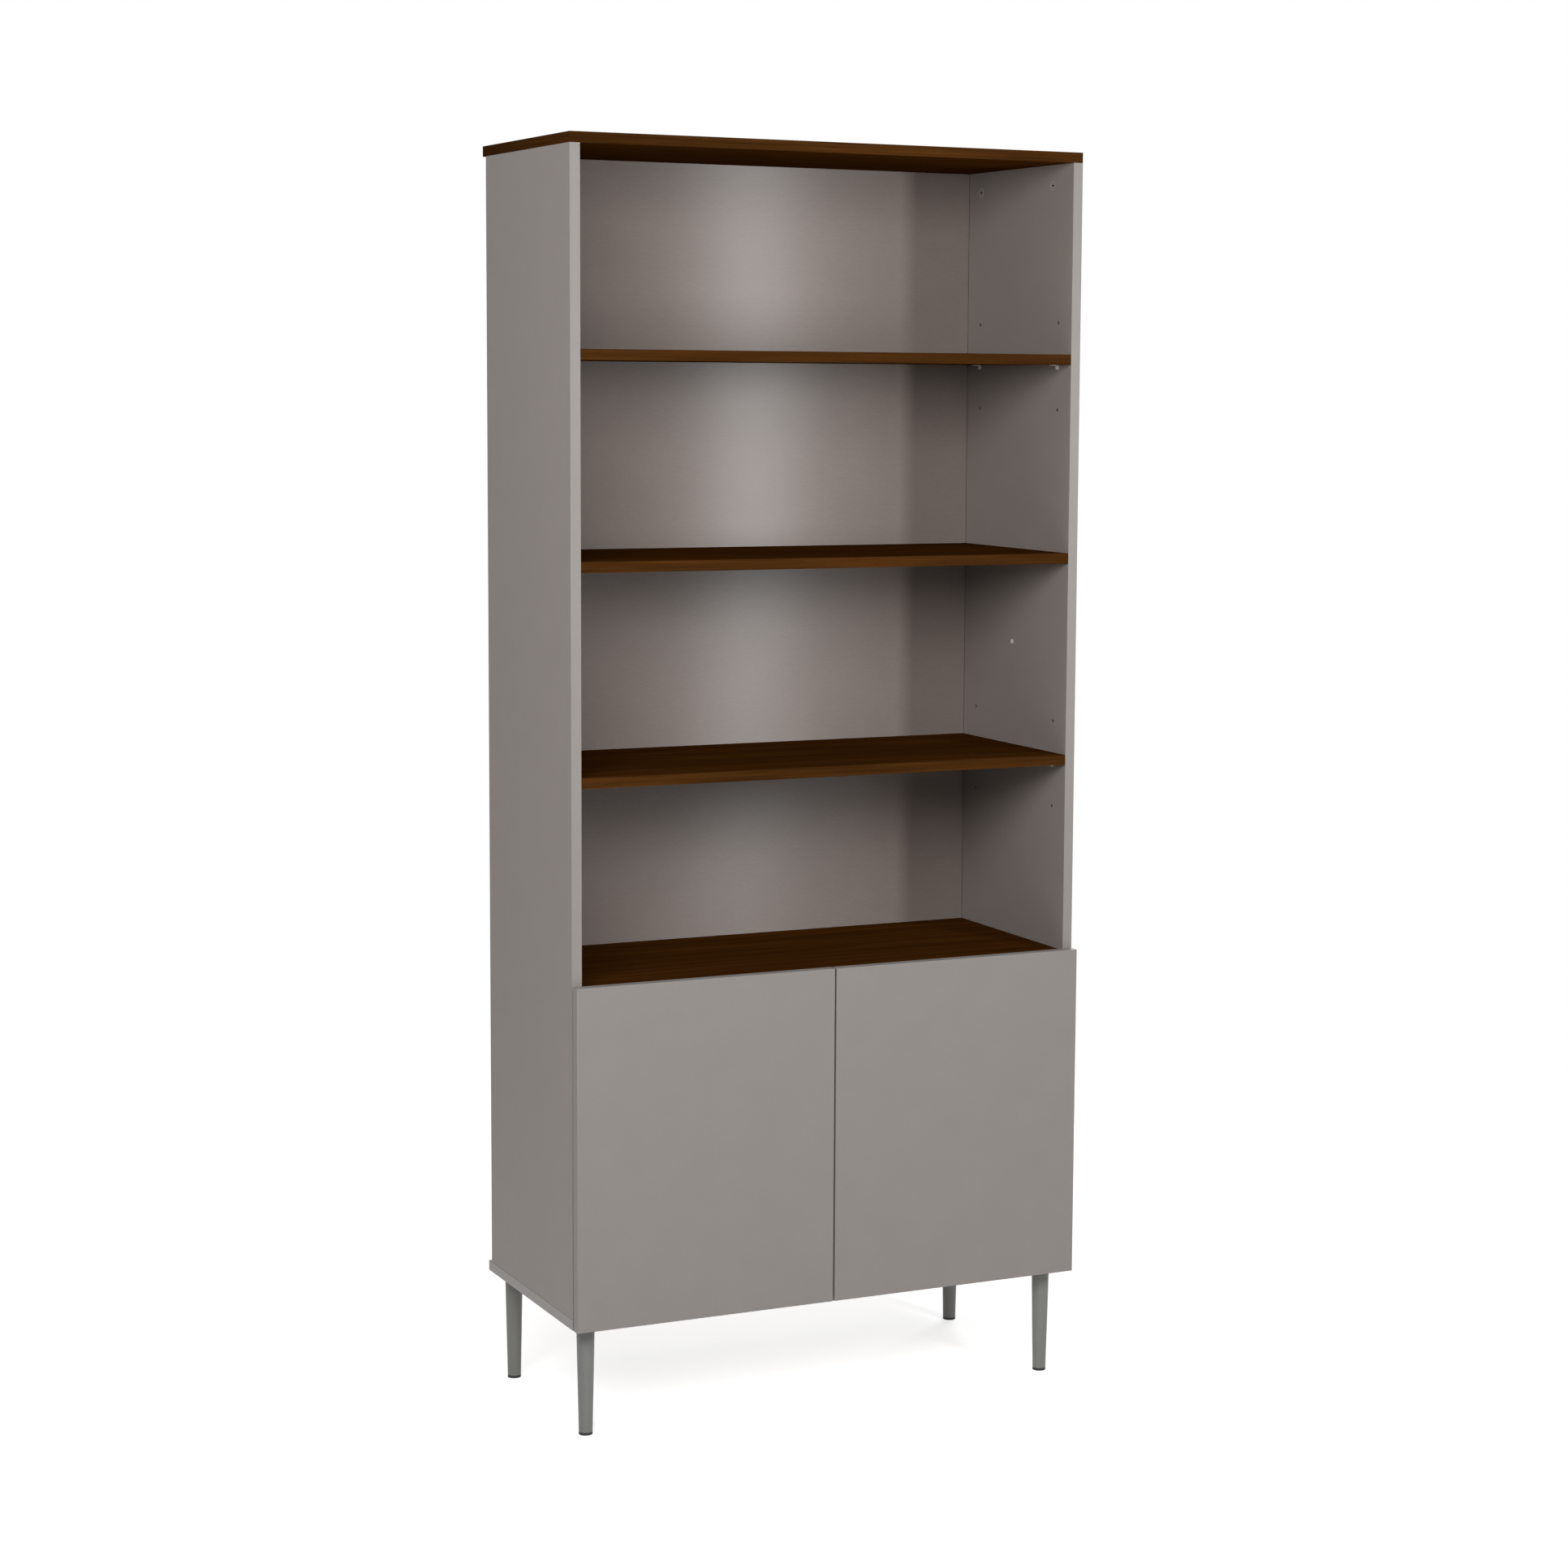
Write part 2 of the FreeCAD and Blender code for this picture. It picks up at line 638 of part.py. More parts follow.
left_side = keep("left_side_panel", side_panel())
keep("right_side_panel", mirrored("RightSidePanel", left_side))
keep("top_board", wide_board("TopBoard", TOP_LEVEL, "0", True))
keep("bottom_board", bottom_board())
keep("cupboard_top_board", cupboard_top())
keep("middle_fixed_shelf", fixed_shelf("MiddleShelf", "Place.middle_shelf_rise"))
keep("upper_loose_shelf", loose_shelf("UpperShelf", "Place.upper_shelf_rise"))
keep("lower_loose_shelf", loose_shelf("LowerShelf", "Place.lower_shelf_rise"))
keep("cupboard_loose_shelf", loose_shelf("InnerShelf", "Place.inner_shelf_rise"))
keep("back_sheet", back_sheet())

keep("walnut_edge_bands", group("WalnutBands", wide_band("TopBand", TOP_LEVEL) + [
    shelf_band("CupboardTopBand", "Size.cupboard_rise"),
    shelf_band("MiddleShelfBand", "Place.middle_shelf_rise"),
    shelf_band("UpperShelfBand", "Place.upper_shelf_rise", PLAY),
    shelf_band("LowerShelfBand", "Place.lower_shelf_rise", PLAY),
]))

side_band = box("SideBand", ("Size.board", "Size.edge_band", "Place.side_height"),
                "Place.outer_left", "Place.carcass_front", "Size.leg_height + Size.board")
keep("grey_edge_bands", group("GreyBands", wide_band("BottomBand", "Size.leg_height") + [
    side_band,
    mirrored("SideBandRight", side_band),
    shelf_band("InnerShelfBand", "Place.inner_shelf_rise", PLAY),
]))


# ---------------------------------------------------------------------------------------------
# joining hardware
# ---------------------------------------------------------------------------------------------

def cam():
    """A cam disc: its slotted face is at the origin and faces +Z, its bolt channel opens to -X."""
    disc = cylinder("CamDisc", "Size.cam_radius - Size.cam_play", "Size.cam_depth - Size.bore_floor",
                    z="Size.bore_floor - Size.cam_depth")
    half = "-Size.cam_slot_length / 2"
    thin = "-Size.cam_slot_width / 2"
    slots = [
        box("CamSlotAlong", ("Size.cam_slot_length", "Size.cam_slot_width", "Size.cam_slot_depth"),
            half, thin, "-Size.cam_slot_depth"),
        box("CamSlotAcross", ("Size.cam_slot_width", "Size.cam_slot_length", "Size.cam_slot_depth"),
            thin, half, "-Size.cam_slot_depth"),
    ]
    channel = cylinder("CamChannel", "Size.cam_channel_radius", "2 * Size.cam_radius",
                       "Size.cam_channel_radius - 2 * Size.cam_radius", "0", "-Place.half_board", Z_TO_RIGHT)
    return cut("Cam", disc, slots + [channel])


def cam_bolt():
    """A cam bolt: it screws into a face at the origin, downwards, and its head reaches up to the cam."""
    thread = cylinder("BoltThread", "Size.bolt_thread_radius", "Size.bolt_thread_length",
                      z="-Size.bolt_thread_length")
    shank = cylinder("BoltShank", "Size.bolt_shank_radius", "Size.cam_setback")
    head = cylinder("BoltHead", "Size.bolt_head_radius", "Size.bolt_head_length",
                    z="Size.cam_setback - Size.bolt_head_length")
    return fuse("CamBolt", [thread, shank, head])


def dowel():
    """A dowel whose shorter end goes down into a face at the origin."""
    peg = cylinder("DowelPeg", "Size.dowel_radius", "Size.dowel_in_face + Size.dowel_in_edge",
                   z="-Size.dowel_in_face")
    return group("Dowel", [peg])


def joint_line(kind, source, rows, corner_x, shelf_x, corner_rise, shelf_drop, turns):
    """Copies of one fitting at the left side's four board joints.

    The corner joints lie above and below the side panel, the shelf joints at the fixed shelves' ends.
    """
    made = []
    side_foot = "Size.leg_height + Size.board"
    side_head = f"{side_foot} + Place.side_height"
    for row_number, row in enumerate(rows):
        y = f"Place.carcass_front + {row}"
        made.append(copy(f"{kind}Bottom{row_number}", source, corner_x, y, f"{side_foot} + {corner_rise}",
                         turns["bottom"]))
        made.append(copy(f"{kind}Top{row_number}", source, corner_x, y, f"{side_head} - {corner_rise}",
                         turns["top"]))
        for number, rise in enumerate(FIXED_RISES):
            made.append(copy(f"{kind}Shelf{number}{row_number}", source, shelf_x, y,
                             f"Size.leg_height + {rise} - {shelf_drop}", turns["shelf"]))
    return made


CAM_TURNS = {"bottom": Z_TO_RIGHT * HALF_TURN, "top": Z_TO_RIGHT, "shelf": Z_DOWN}
BOLT_TURNS = {"bottom": NO_TURN, "top": Z_DOWN, "shelf": Z_TO_RIGHT}
MIDDLE_X = "Place.outer_left + Place.half_board"

keep("cam_locks", both_sides("CamLocks", joint_line(
    "Cam", cam(), CAM_ROWS, "Place.inner_left", "Place.inner_left + Size.cam_setback",
    "Size.cam_setback", "Size.board", CAM_TURNS)))
keep("cam_bolts", both_sides("CamBolts", joint_line(
    "Bolt", cam_bolt(), CAM_ROWS, MIDDLE_X, "Place.inner_left", "0", "Place.half_board", BOLT_TURNS)))
keep("wooden_dowels", both_sides("Dowels", joint_line(
    "Peg", dowel(), DOWEL_ROWS, MIDDLE_X, "Place.inner_left", "0", "Place.half_board", BOLT_TURNS)))


def shelf_pin():
    """A shelf support: a round pin in the side panel, a collar against it and a flat blade above."""
    stem = cylinder("PinStem", "Size.pin_radius", "Size.pin_bore_depth - Size.bore_floor",
                    "Size.bore_floor - Size.pin_bore_depth", turn=Z_TO_RIGHT)
    collar = cylinder("PinCollar", "Size.collar_radius", "Size.collar_thickness",
                      z="Size.pin_radius - Size.collar_drop - Size.collar_radius", turn=Z_TO_RIGHT)
    blade = box("PinBlade", ("Size.blade_length", "Size.blade_width", "Size.blade_thickness"),
                "Size.collar_thickness / 2", "-Size.blade_width / 2",
                "Size.pin_radius - Size.blade_thickness")
    return fuse("ShelfPin", [stem, collar, blade])


support = shelf_pin()
for shelf in LOOSE_SHELVES:
    axis = f"Size.leg_height + Place.{shelf}_rise - Size.board - Size.pin_radius"
    pins = [copy(f"Pin{shelf}{number}", support, "Place.inner_left", f"Place.carcass_front + {row}", axis)
            for number, row in enumerate(PIN_ROWS)]
    keep(f"{shelf}_supports", both_sides(f"Supports{shelf}", pins))

cap_rim = cylinder("CapRim", "Size.cap_radius", "Size.cap_rim", "0", turn=Z_TO_RIGHT)
cap_stem = cylinder("CapStem", "Size.pin_radius", "Size.cap_stem", "-Size.cap_stem", turn=Z_TO_RIGHT)
cap = copy("CapLeft", fuse("Cap", [cap_rim, cap_stem]), "Place.inner_left",
           "Place.carcass_front + Size.cap_row", "Size.leg_height + Place.cap_rise")
keep("blanking_caps", both_sides("BlankingCaps", [cap]))


# ---------------------------------------------------------------------------------------------
# doors
# ---------------------------------------------------------------------------------------------

def edges_along(shape, axis):
    """The names of a slab's edges that run along one axis."""
    return [f"Edge{number}" for number, edge in enumerate(shape.Edges, start=1)
            if abs(getattr(edge.Vertexes[0].Point, axis) - getattr(edge.Vertexes[-1].Point, axis)) > NEAR]


def front_edges(shape):
    """The names of a slab's edges on its lowest-Y face."""
    level = shape.BoundBox.YMin
    return [f"Edge{number}" for number, edge in enumerate(shape.Edges, start=1)
            if max(abs(vertex.Point.y - level) for vertex in edge.Vertexes) < NEAR]


def left_door():
    """The left door, with its front edges rounded and its cup bores and screw holes behind."""
    made = body("LeftDoor", "Place.outer_left + Size.door_side_reveal", "-Size.cabinet_depth / 2",
                "Size.leg_height")
    section = sketch(made, "DoorSection", "XY_Plane")
    rectangle(section, "Place.door_width", "Size.door_board")
    slab = pad(made, "DoorPad", section, "Place.door_height")
    DOC.recompute()
    round_edges(made, "DoorRounds", slab, front_edges(slab.Shape), "Size.door_edge_round")

    heights = {name: f"{height} - Size.leg_height" for name, height in HINGES.items()}
    inner = "-Size.door_board"
    bores(made, "CupBores", "XZ_Plane", inner, "Size.cup_radius + Size.cup_play",
          "Size.cup_depth + Size.bore_floor", [("Place.cup_centre", rise) for rise in heights.values()], True)
    cup_screws = []
    for rise in heights.values():
        for sign in ("-", "+"):
            cup_screws.append(("Place.cup_centre + Size.flange_ear_offset",
                               f"{rise} {sign} Size.cup_screw_half"))
    bores(made, "CupScrewHoles", "XZ_Plane", inner, "Size.cup_screw_radius + Size.screw_play",
          "Size.cup_screw_length - Size.flange_thickness + Size.bore_floor", cup_screws, True)
    strike = [("Size.cabinet_width / 2 - Size.door_side_reveal - Size.latch_offset",
               "Place.latch_axis - Size.leg_height")]
    bores(made, "StrikeScrewHole", "XZ_Plane", inner, "Size.strike_screw_radius + Size.screw_play",
          "Size.strike_screw_length", strike, True)
    return made


door = keep("left_door", left_door())
keep("right_door", mirrored("RightDoor", door))


# ---------------------------------------------------------------------------------------------
# hinges, each drawn about its own pivot at the middle of its height
# ---------------------------------------------------------------------------------------------

def hinge_cup():
    """A flanged cup: its axis is +Z, its rim seats at the origin, and its pivot lies to -X.

    Two bosses stand on the cup's floor, one at each side of the arm's nose, and hold the pin.
    """
    bowl = cylinder("CupBowl", "Size.cup_radius", "Size.cup_depth", z="-Size.cup_depth")
    lip = cylinder("CupLip", "Size.cup_radius + Size.flange_lip", "Size.flange_thickness")
    round_spot = "Size.flange_ear_half - Size.flange_ear_width / 2"
    ears = [box("CupEars", ("Size.flange_ear_width", f"2 * ({round_spot})", "Size.flange_thickness"),
                "Size.flange_ear_offset - Size.flange_ear_width / 2", f"-({round_spot})")]
    ears += [cylinder(f"CupEarEnd{number}", "Size.flange_ear_width / 2", "Size.flange_thickness",
                      "Size.flange_ear_offset", f"{sign}({round_spot})")
             for number, sign in enumerate(("-", ""))]
    hollow = cylinder("CupHollow", "Size.cup_radius - Size.cup_wall", "2 * Size.cup_depth",
                      z="Size.cup_wall - Size.cup_depth")
    nose_side = "Size.arm_nose_width / 2 + Size.pivot_boss_gap"
    boss_width = f"Size.pivot_pin_half - ({nose_side})"
    boss_size = ("2 * Size.pivot_boss_radius", boss_width,
                 "Size.cup_depth - Size.pivot_depth + Size.pivot_boss_radius")
    bosses = [box(f"PinBoss{number}", boss_size, "-Place.pivot_to_cup - Size.pivot_boss_radius", y,
                  "-Size.cup_depth") for number, y in enumerate(("-Size.pivot_pin_half", nose_side))]
    pin_hole = cylinder("CupPinHole", "Size.pivot_pin_radius + Size.pivot_play / 2",
                        "2 * Size.pivot_pin_half", "-Place.pivot_to_cup", "Size.pivot_pin_half",
                        "-Size.pivot_depth", Z_TO_FRONT)
    holes = [cylinder(f"CupScrewHole{number}", "Size.cup_screw_radius + Size.screw_play",
                      "2 * Size.flange_thickness", "Size.flange_ear_offset", f"{sign}Size.cup_screw_half",
                      "-Size.flange_thickness / 2") for number, sign in enumerate(("-", ""))]
    shell = cut("CupShell", fuse("CupBlank", [bowl, lip] + ears), [hollow])
    return cut("HingeCup", fuse("CupBody", [shell] + bosses), [pin_hole] + holes)


def arm_nose():
    """The arm's bent nose: from the eye round the pin, under the door's edge and up to the web."""
    half = "Size.arm_thickness / 2"
    web = f"Place.web_inner + {half}"
    bend = f"Size.arm_start - 2 * ({web} - Size.arm_run)"
    nose = body("ArmNose", z="-Size.arm_nose_width / 2")
    strip = sketch(nose, "ArmNoseStrip", "XY_Plane")
    outline(strip, [
        ("0", f"-{half}"),
        (f"Size.arm_run + {half}", f"-Size.arm_dip - {half}"),
        (f"Size.arm_run + {half}", f"{bend} - {half}"),
        (f"{web} + {half}", "Size.arm_start"),
        (f"{web} + {half}", "Size.arm_start + Size.arm_thickness"),
        ("Place.web_inner", "Size.arm_start + Size.arm_thickness"),
        ("Place.web_inner", "Size.arm_start"),
        (f"Size.arm_run - {half}", bend),
        (f"Size.arm_run - {half}", f"{half} - Size.arm_dip"),
        ("0", half),
    ])
    pad(nose, "ArmNosePad", strip, "Size.arm_nose_width")
    return nose


def hinge_arm():
    """The cranked arm: its nose carries the pin, and its channel rides on the mounting plate's spine."""
    half = "-Size.arm_width / 2"
    web = box("ArmWeb", ("Size.arm_thickness", "Size.arm_length", "Size.arm_width"),
              "Place.web_inner", "Size.arm_start", half)
    cheek_height = "Size.plate_spine - Size.plate_wing"
    cheeks = [box(f"ArmCheek{number}", (cheek_height, "Size.arm_length", "Size.arm_cheek"),
                  f"Place.web_inner - ({cheek_height})", "Size.arm_start", level)
              for number, level in enumerate((half, "Size.arm_width / 2 - Size.arm_cheek"))]
    holes = [cylinder(f"ArmHole{number}", "Size.arm_screw_radius + Size.screw_play",
                      "2 * Size.arm_thickness", "Place.web_inner - Size.arm_thickness / 2", y, "0",
                      Z_TO_RIGHT)
             for number, y in enumerate(("Size.arm_screw_front", "Size.arm_screw_rear"))]
    eye = cylinder("ArmEye", "Size.arm_eye_radius", "Size.arm_nose_width", z="-Size.arm_nose_width / 2")
    bore = cylinder("ArmEyeBore", "Size.pivot_pin_radius + Size.pivot_play", "2 * Size.arm_nose_width",
                    z="-Size.arm_nose_width")
    return cut("HingeArm", fuse("ArmBody", [arm_nose(), eye, web] + cheeks), holes + [bore])


def mounting_plate():
    """The plate on the side panel: a cross wing with two screw holes and the spine for the arm."""
    round_spot = "Size.plate_wing_half - Size.plate_wing_width / 2"
    wing = [box("PlateWing", ("Size.plate_wing", "Size.plate_wing_width", f"2 * ({round_spot})"),
                "Place.pivot_to_side",
                "Place.pivot_to_front + Size.plate_row - Size.plate_wing_width / 2", f"-({round_spot})")]
    wing += [cylinder(f"PlateWingEnd{number}", "Size.plate_wing_width / 2", "Size.plate_wing",
                      "Place.pivot_to_side", "Place.pivot_to_front + Size.plate_row",
                      f"{sign}({round_spot})", Z_TO_RIGHT) for number, sign in enumerate(("-", ""))]
    spine = box("PlateSpine", ("Size.plate_spine", "Size.plate_spine_length", "Size.plate_spine_width"),
                "Place.pivot_to_side", "Place.pivot_to_front + Size.plate_spine_front",
                "-Size.plate_spine_width / 2")
    holes = [cylinder(f"PlateHole{number}", "Size.plate_screw_radius + Size.screw_play",
                      "2 * Size.plate_wing", "Place.pivot_to_side - Size.plate_wing / 2",
                      "Place.pivot_to_front + Size.plate_row", f"{sign}Size.plate_screw_half", Z_TO_RIGHT)
             for number, sign in enumerate(("-", ""))]
    holes += [cylinder(f"SpineHole{number}", "Size.arm_screw_radius + Size.screw_play",
                       "2 * Size.plate_spine", "Place.pivot_to_side - Size.plate_spine / 2", y, "0",
                       Z_TO_RIGHT)
              for number, y in enumerate(("Size.arm_screw_front", "Size.arm_screw_rear"))]
    return cut("MountingPlate", fuse("PlateBody", wing + [spine]), holes)


def hinge_copies(kind, source, x="0", y="0", z_offsets=("",), turn=NO_TURN):
    """Copies of a hinge piece at both hinges of the left door, offset from the pivot."""
    made = []
    for name, height in HINGES.items():
        for number, offset in enumerate(z_offsets):
            made.append(copy(f"{kind}{name}{number}", source, f"Place.pivot_x + {x}",
                             f"Place.pivot_y + {y}", f"{height}{offset}", turn))
    return made


def left_and_right(name, members):
    """One sub-part for the left side's members and one for their mirror images."""
    left = group(f"Left{name}", members)
    keep(f"left_{name}", left)
    keep(f"right_{name}", mirrored(f"Right{name}", left))


PIVOT_PIN = cylinder("PivotPin", "Size.pivot_pin_radius", "2 * Size.pivot_pin_half")
CUP_SCREW = screw("CupScrew", "Size.cup_screw_radius", "Size.cup_screw_length",
                  "Size.cup_screw_head_radius", "Size.cup_screw_head")
ARM_SCREW = screw("ArmScrew", "Size.arm_screw_radius", "Size.arm_screw_length",
                  "Size.arm_screw_head_radius", "Size.arm_screw_head")
PLATE_SCREW = screw("PlateScrew", "Size.plate_screw_radius", "Size.plate_screw_length",
                    "Size.plate_screw_head_radius", "Size.plate_screw_head")

left_and_right("hinge_cups", hinge_copies("Cup", hinge_cup(), "Place.pivot_to_cup", "Size.pivot_depth",
                                          turn=Z_TO_BACK))
left_and_right("hinge_pins", hinge_copies(
    "HingePin", PIVOT_PIN, z_offsets=(" - Size.pivot_pin_half",)))
left_and_right("hinge_arms", hinge_copies("Arm", hinge_arm()))
left_and_right("hinge_plates", hinge_copies("Plate", mounting_plate()))
left_and_right("cup_screws", hinge_copies(
    "CupScrewAt", CUP_SCREW, "Place.pivot_to_cup + Size.flange_ear_offset",
    "Size.pivot_depth + Size.flange_thickness",
    (" - Size.cup_screw_half", " + Size.cup_screw_half"), Z_TO_BACK))

arm_screws = []
for end in ("front", "rear"):
    arm_screws += hinge_copies(f"ArmScrew{end}", ARM_SCREW, "Place.web_inner + Size.arm_thickness",
                               f"Size.arm_screw_{end}", turn=Z_TO_RIGHT)
keep("hinge_arm_screws", both_sides("ArmScrews", arm_screws))
keep("hinge_plate_screws", both_sides("PlateScrews", hinge_copies(
    "PlateScrewAt", PLATE_SCREW, "Place.pivot_to_side + Size.plate_wing",
    "Place.pivot_to_front + Size.plate_row",
    (" - Size.plate_screw_half", " + Size.plate_screw_half"), Z_TO_RIGHT)))


# ---------------------------------------------------------------------------------------------
# push latches
# ---------------------------------------------------------------------------------------------

def latch_housing():
    """The latch's casing: its axis runs back along +Y from its front face at the origin."""
    casing = body("LatchCasing", y="Size.latch_length")
    section = sketch(casing, "LatchSection", "XZ_Plane")
    rectangle(section, "Size.latch_width", "Size.latch_height", "-Size.latch_width / 2",
              "-Size.latch_height / 2")
    block = pad(casing, "LatchPad", section, "Size.latch_length")
    DOC.recompute()
    round_edges(casing, "LatchRounds", block, edges_along(block.Shape, "y"), "Size.latch_round")
    ears = [box(f"LatchEar{number}", ("Size.latch_ear_width", "Size.latch_ear_length",
                                      "Size.latch_ear_thickness"),
                "-Size.latch_ear_width / 2", start, "Size.latch_height / 2 - Size.latch_ear_thickness")
            for number, start in enumerate(("Size.latch_ear_front", "Size.latch_ear_rear"))]
    bore = cylinder("LatchBore", "Size.plunger_radius + Size.plunger_play",
                    "Place.plunger_length + Size.bore_floor", turn=Z_TO_BACK)
    holes = [cylinder(f"LatchHole{number}", "Size.latch_screw_radius + Size.screw_play",
                      "3 * Size.latch_ear_thickness", x, f"{start} + Size.latch_ear_length / 2",
                      "Size.latch_height / 2 - 2 * Size.latch_ear_thickness")
             for number, (x, start) in enumerate(LATCH_SCREW_SPOTS)]
    return cut("LatchHousing", fuse("LatchBody", [casing] + ears), [bore] + holes)


def plunger():
    """The plunger, from its nose at the origin back along +Y, bored for its magnet."""
    rod = cylinder("PlungerRod", "Size.plunger_radius", "Place.plunger_length", turn=Z_TO_BACK)
    seat = cylinder("PlungerSeat", "Size.magnet_radius + Size.screw_play",
                    "Size.magnet_length + Size.bore_floor", turn=Z_TO_BACK)
    return cut("Plunger", rod, [seat])


LATCH_X = "-Size.latch_offset"
housing = copy("LeftLatch", latch_housing(), LATCH_X, "Place.carcass_front + Size.latch_front",
               "Place.latch_axis")
rod_left = copy("LeftPlunger", plunger(), LATCH_X, "Place.plunger_nose", "Place.latch_axis")
magnet_left = cylinder("LeftMagnet", "Size.magnet_radius", "Size.magnet_length", LATCH_X,
                       "Place.plunger_nose", "Place.latch_axis", Z_TO_BACK)
left_and_right("latch_housing", [housing])
left_and_right("latch_plunger", [rod_left])
left_and_right("latch_magnet", [magnet_left])

LATCH_SCREW = screw("LatchScrew", "Size.latch_screw_radius", "Size.latch_screw_length",
                    "Size.latch_screw_head_radius", "Size.latch_screw_head")
keep("latch_screws", both_sides("LatchScrews", [
    copy(f"LatchScrewAt{number}", LATCH_SCREW, f"{LATCH_X} + ({spread})",
         f"Place.carcass_front + Size.latch_front + {start} + Size.latch_ear_length / 2",
         "Place.latch_ceiling - Size.latch_ear_thickness", Z_DOWN)
    for number, (spread, start) in enumerate(LATCH_SCREW_SPOTS)]))

strike_disc = cylinder("StrikeDisc", "Size.strike_radius", "Size.strike_thickness")
strike_hole = cylinder("StrikeHole", "Size.strike_screw_radius + Size.screw_play",
                       "3 * Size.strike_thickness", z="-Size.strike_thickness")
strike_seat = cylinder("StrikeSeat", "Size.strike_screw_head_radius + Size.screw_play",
                       "Size.strike_thickness", z="Size.strike_thickness - Size.strike_screw_head")
STRIKE = cut("Strike", strike_disc, [strike_hole, strike_seat])
STRIKE_SCREW = screw("StrikeScrew", "Size.strike_screw_radius",
                     "Size.strike_screw_length - Size.bore_floor", "Size.strike_screw_head_radius",
                     "Size.strike_screw_head")
left_and_right("strike_plate", [copy("LeftStrike", STRIKE, LATCH_X, "Place.door_inner_face",
                                     "Place.latch_axis", Z_TO_BACK)])
left_and_right("strike_screw", [copy(
    "LeftStrikeScrew", STRIKE_SCREW, LATCH_X,
    "Place.door_inner_face + Size.strike_thickness - Size.strike_screw_head", "Place.latch_axis",
    Z_TO_BACK)])


# ---------------------------------------------------------------------------------------------
# legs
# ---------------------------------------------------------------------------------------------

def turned(name, x, y, z, profile):
    """A piece turned about its own vertical axis, from a profile of radius and height."""
    made = body(name, x, y, z)
    drawing = sketch(made, f"{name}Profile", "XZ_Plane")
    outline(drawing, profile)
    spin = made.newObject("PartDesign::Revolution", f"{name}Turn")
    spin.Profile = drawing
    spin.ReferenceAxis = (drawing, ["V_Axis"])
    spin.Angle = 360
    return made


LEG_CORNERS = {
    "front_left": ("-Place.leg_x", "Place.leg_front_y"),
    "front_right": ("Place.leg_x", "Place.leg_front_y"),
    "rear_left": ("-Place.leg_x", "Place.leg_rear_y"),
    "rear_right": ("Place.leg_x", "Place.leg_rear_y"),
}


def leg_plate():
    """The plate welded to a leg's head: its lower face is at the origin."""
    made = body("LegPlate")
    face = sketch(made, "LegPlateFace", "XY_Plane")
    half = "Size.leg_plate_size / 2"
    outline(face, [(f"-{half}", f"-{half}"), (half, f"-{half}"), (half, half), (f"-{half}", half)])
    slab = pad(made, "LegPlatePad", face, "Size.leg_plate_thickness")
    DOC.recompute()
    round_edges(made, "LegPlateRounds", slab, edges_along(slab.Shape, "z"), "Size.leg_plate_round")
    corners = [(f"{x}Size.leg_screw_half", f"{y}Size.leg_screw_half") for x in ("-", "") for y in ("-", "")]
    bores(made, "LegPlateHoles", "XY_Plane", "Size.leg_plate_thickness",
          "Size.leg_screw_radius + Size.screw_play", "Size.leg_plate_thickness", corners)
    return made


LEG_SCREW = screw("LegScrew", "Size.leg_screw_radius", "Size.leg_screw_length",
                  "Size.leg_screw_head_radius", "Size.leg_screw_head")
plate = leg_plate()
PLATE_LEVEL = "Size.leg_height - Size.leg_plate_thickness"
plates, leg_screws, glides = [], [], []
for corner, (x, y) in LEG_CORNERS.items():
    keep(f"{corner}_leg", turned(f"Leg_{corner}", x, y, "Size.glide_height", [
        ("Size.leg_foot_radius", "0"),
        ("Size.leg_top_radius", "Place.leg_tube_length"),
        ("Size.leg_top_radius - Size.leg_wall", "Place.leg_tube_length"),
        ("Size.leg_foot_radius - Size.leg_wall", "0"),
    ]))
    glides.append(turned(f"Glide_{corner}", x, y, "0", [
        ("0", "0"),
        ("Size.glide_radius", "0"),
        ("Size.glide_radius", "Size.glide_height"),
        ("Place.glide_plug_radius", "Size.glide_height"),
        ("Place.glide_plug_radius", "Size.glide_height + Size.glide_plug"),
        ("0", "Size.glide_height + Size.glide_plug"),
    ]))
    plates.append(copy(f"Plate_{corner}", plate, x, y, PLATE_LEVEL))
    for along in ("-", "+"):
        for across in ("-", "+"):
            leg_screws.append(copy(f"LegScrew_{len(leg_screws)}", LEG_SCREW,
                                   f"{x} {along} Size.leg_screw_half", f"{y} {across} Size.leg_screw_half",
                                   PLATE_LEVEL, Z_DOWN))

keep("leg_plates", group("LegPlates", plates))
keep("leg_screws", group("LegScrews", leg_screws))
keep("foot_glides", group("FootGlides", glides))


# ---------------------------------------------------------------------------------------------
# checks and files
# ---------------------------------------------------------------------------------------------

def check():
    """Stops the build if any object failed or any sub-part has no sound solid."""
    for item in DOC.Objects:
        if "Invalid" in item.State or "Error" in item.State:
            raise RuntimeError(f"{item.Name} failed: {item.State}")
    for label, made in PARTS.items():
        shape = made.Shape
        if shape.isNull() or not shape.isValid() or not shape.Solids:
            raise RuntimeError(f"{label} has no valid solid")


DOC.recompute()
check()
os.makedirs("parts", exist_ok=True)
for label, made in PARTS.items():
    made.Shape.exportStep(os.path.join("parts", f"{label}.step"))
print(f"{len(PARTS)} sub-parts, {sum(len(made.Shape.Solids) for made in PARTS.values())} solids")
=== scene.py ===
"""Looks of the bookcase with a two-door cupboard: finishes, screws, light and camera.

Metres, in the part's own frame: X to the right, Y to the back, Z up, floor at Z = 0.
"""
import math

import bmesh
import bpy
from mathutils import Matrix, Vector


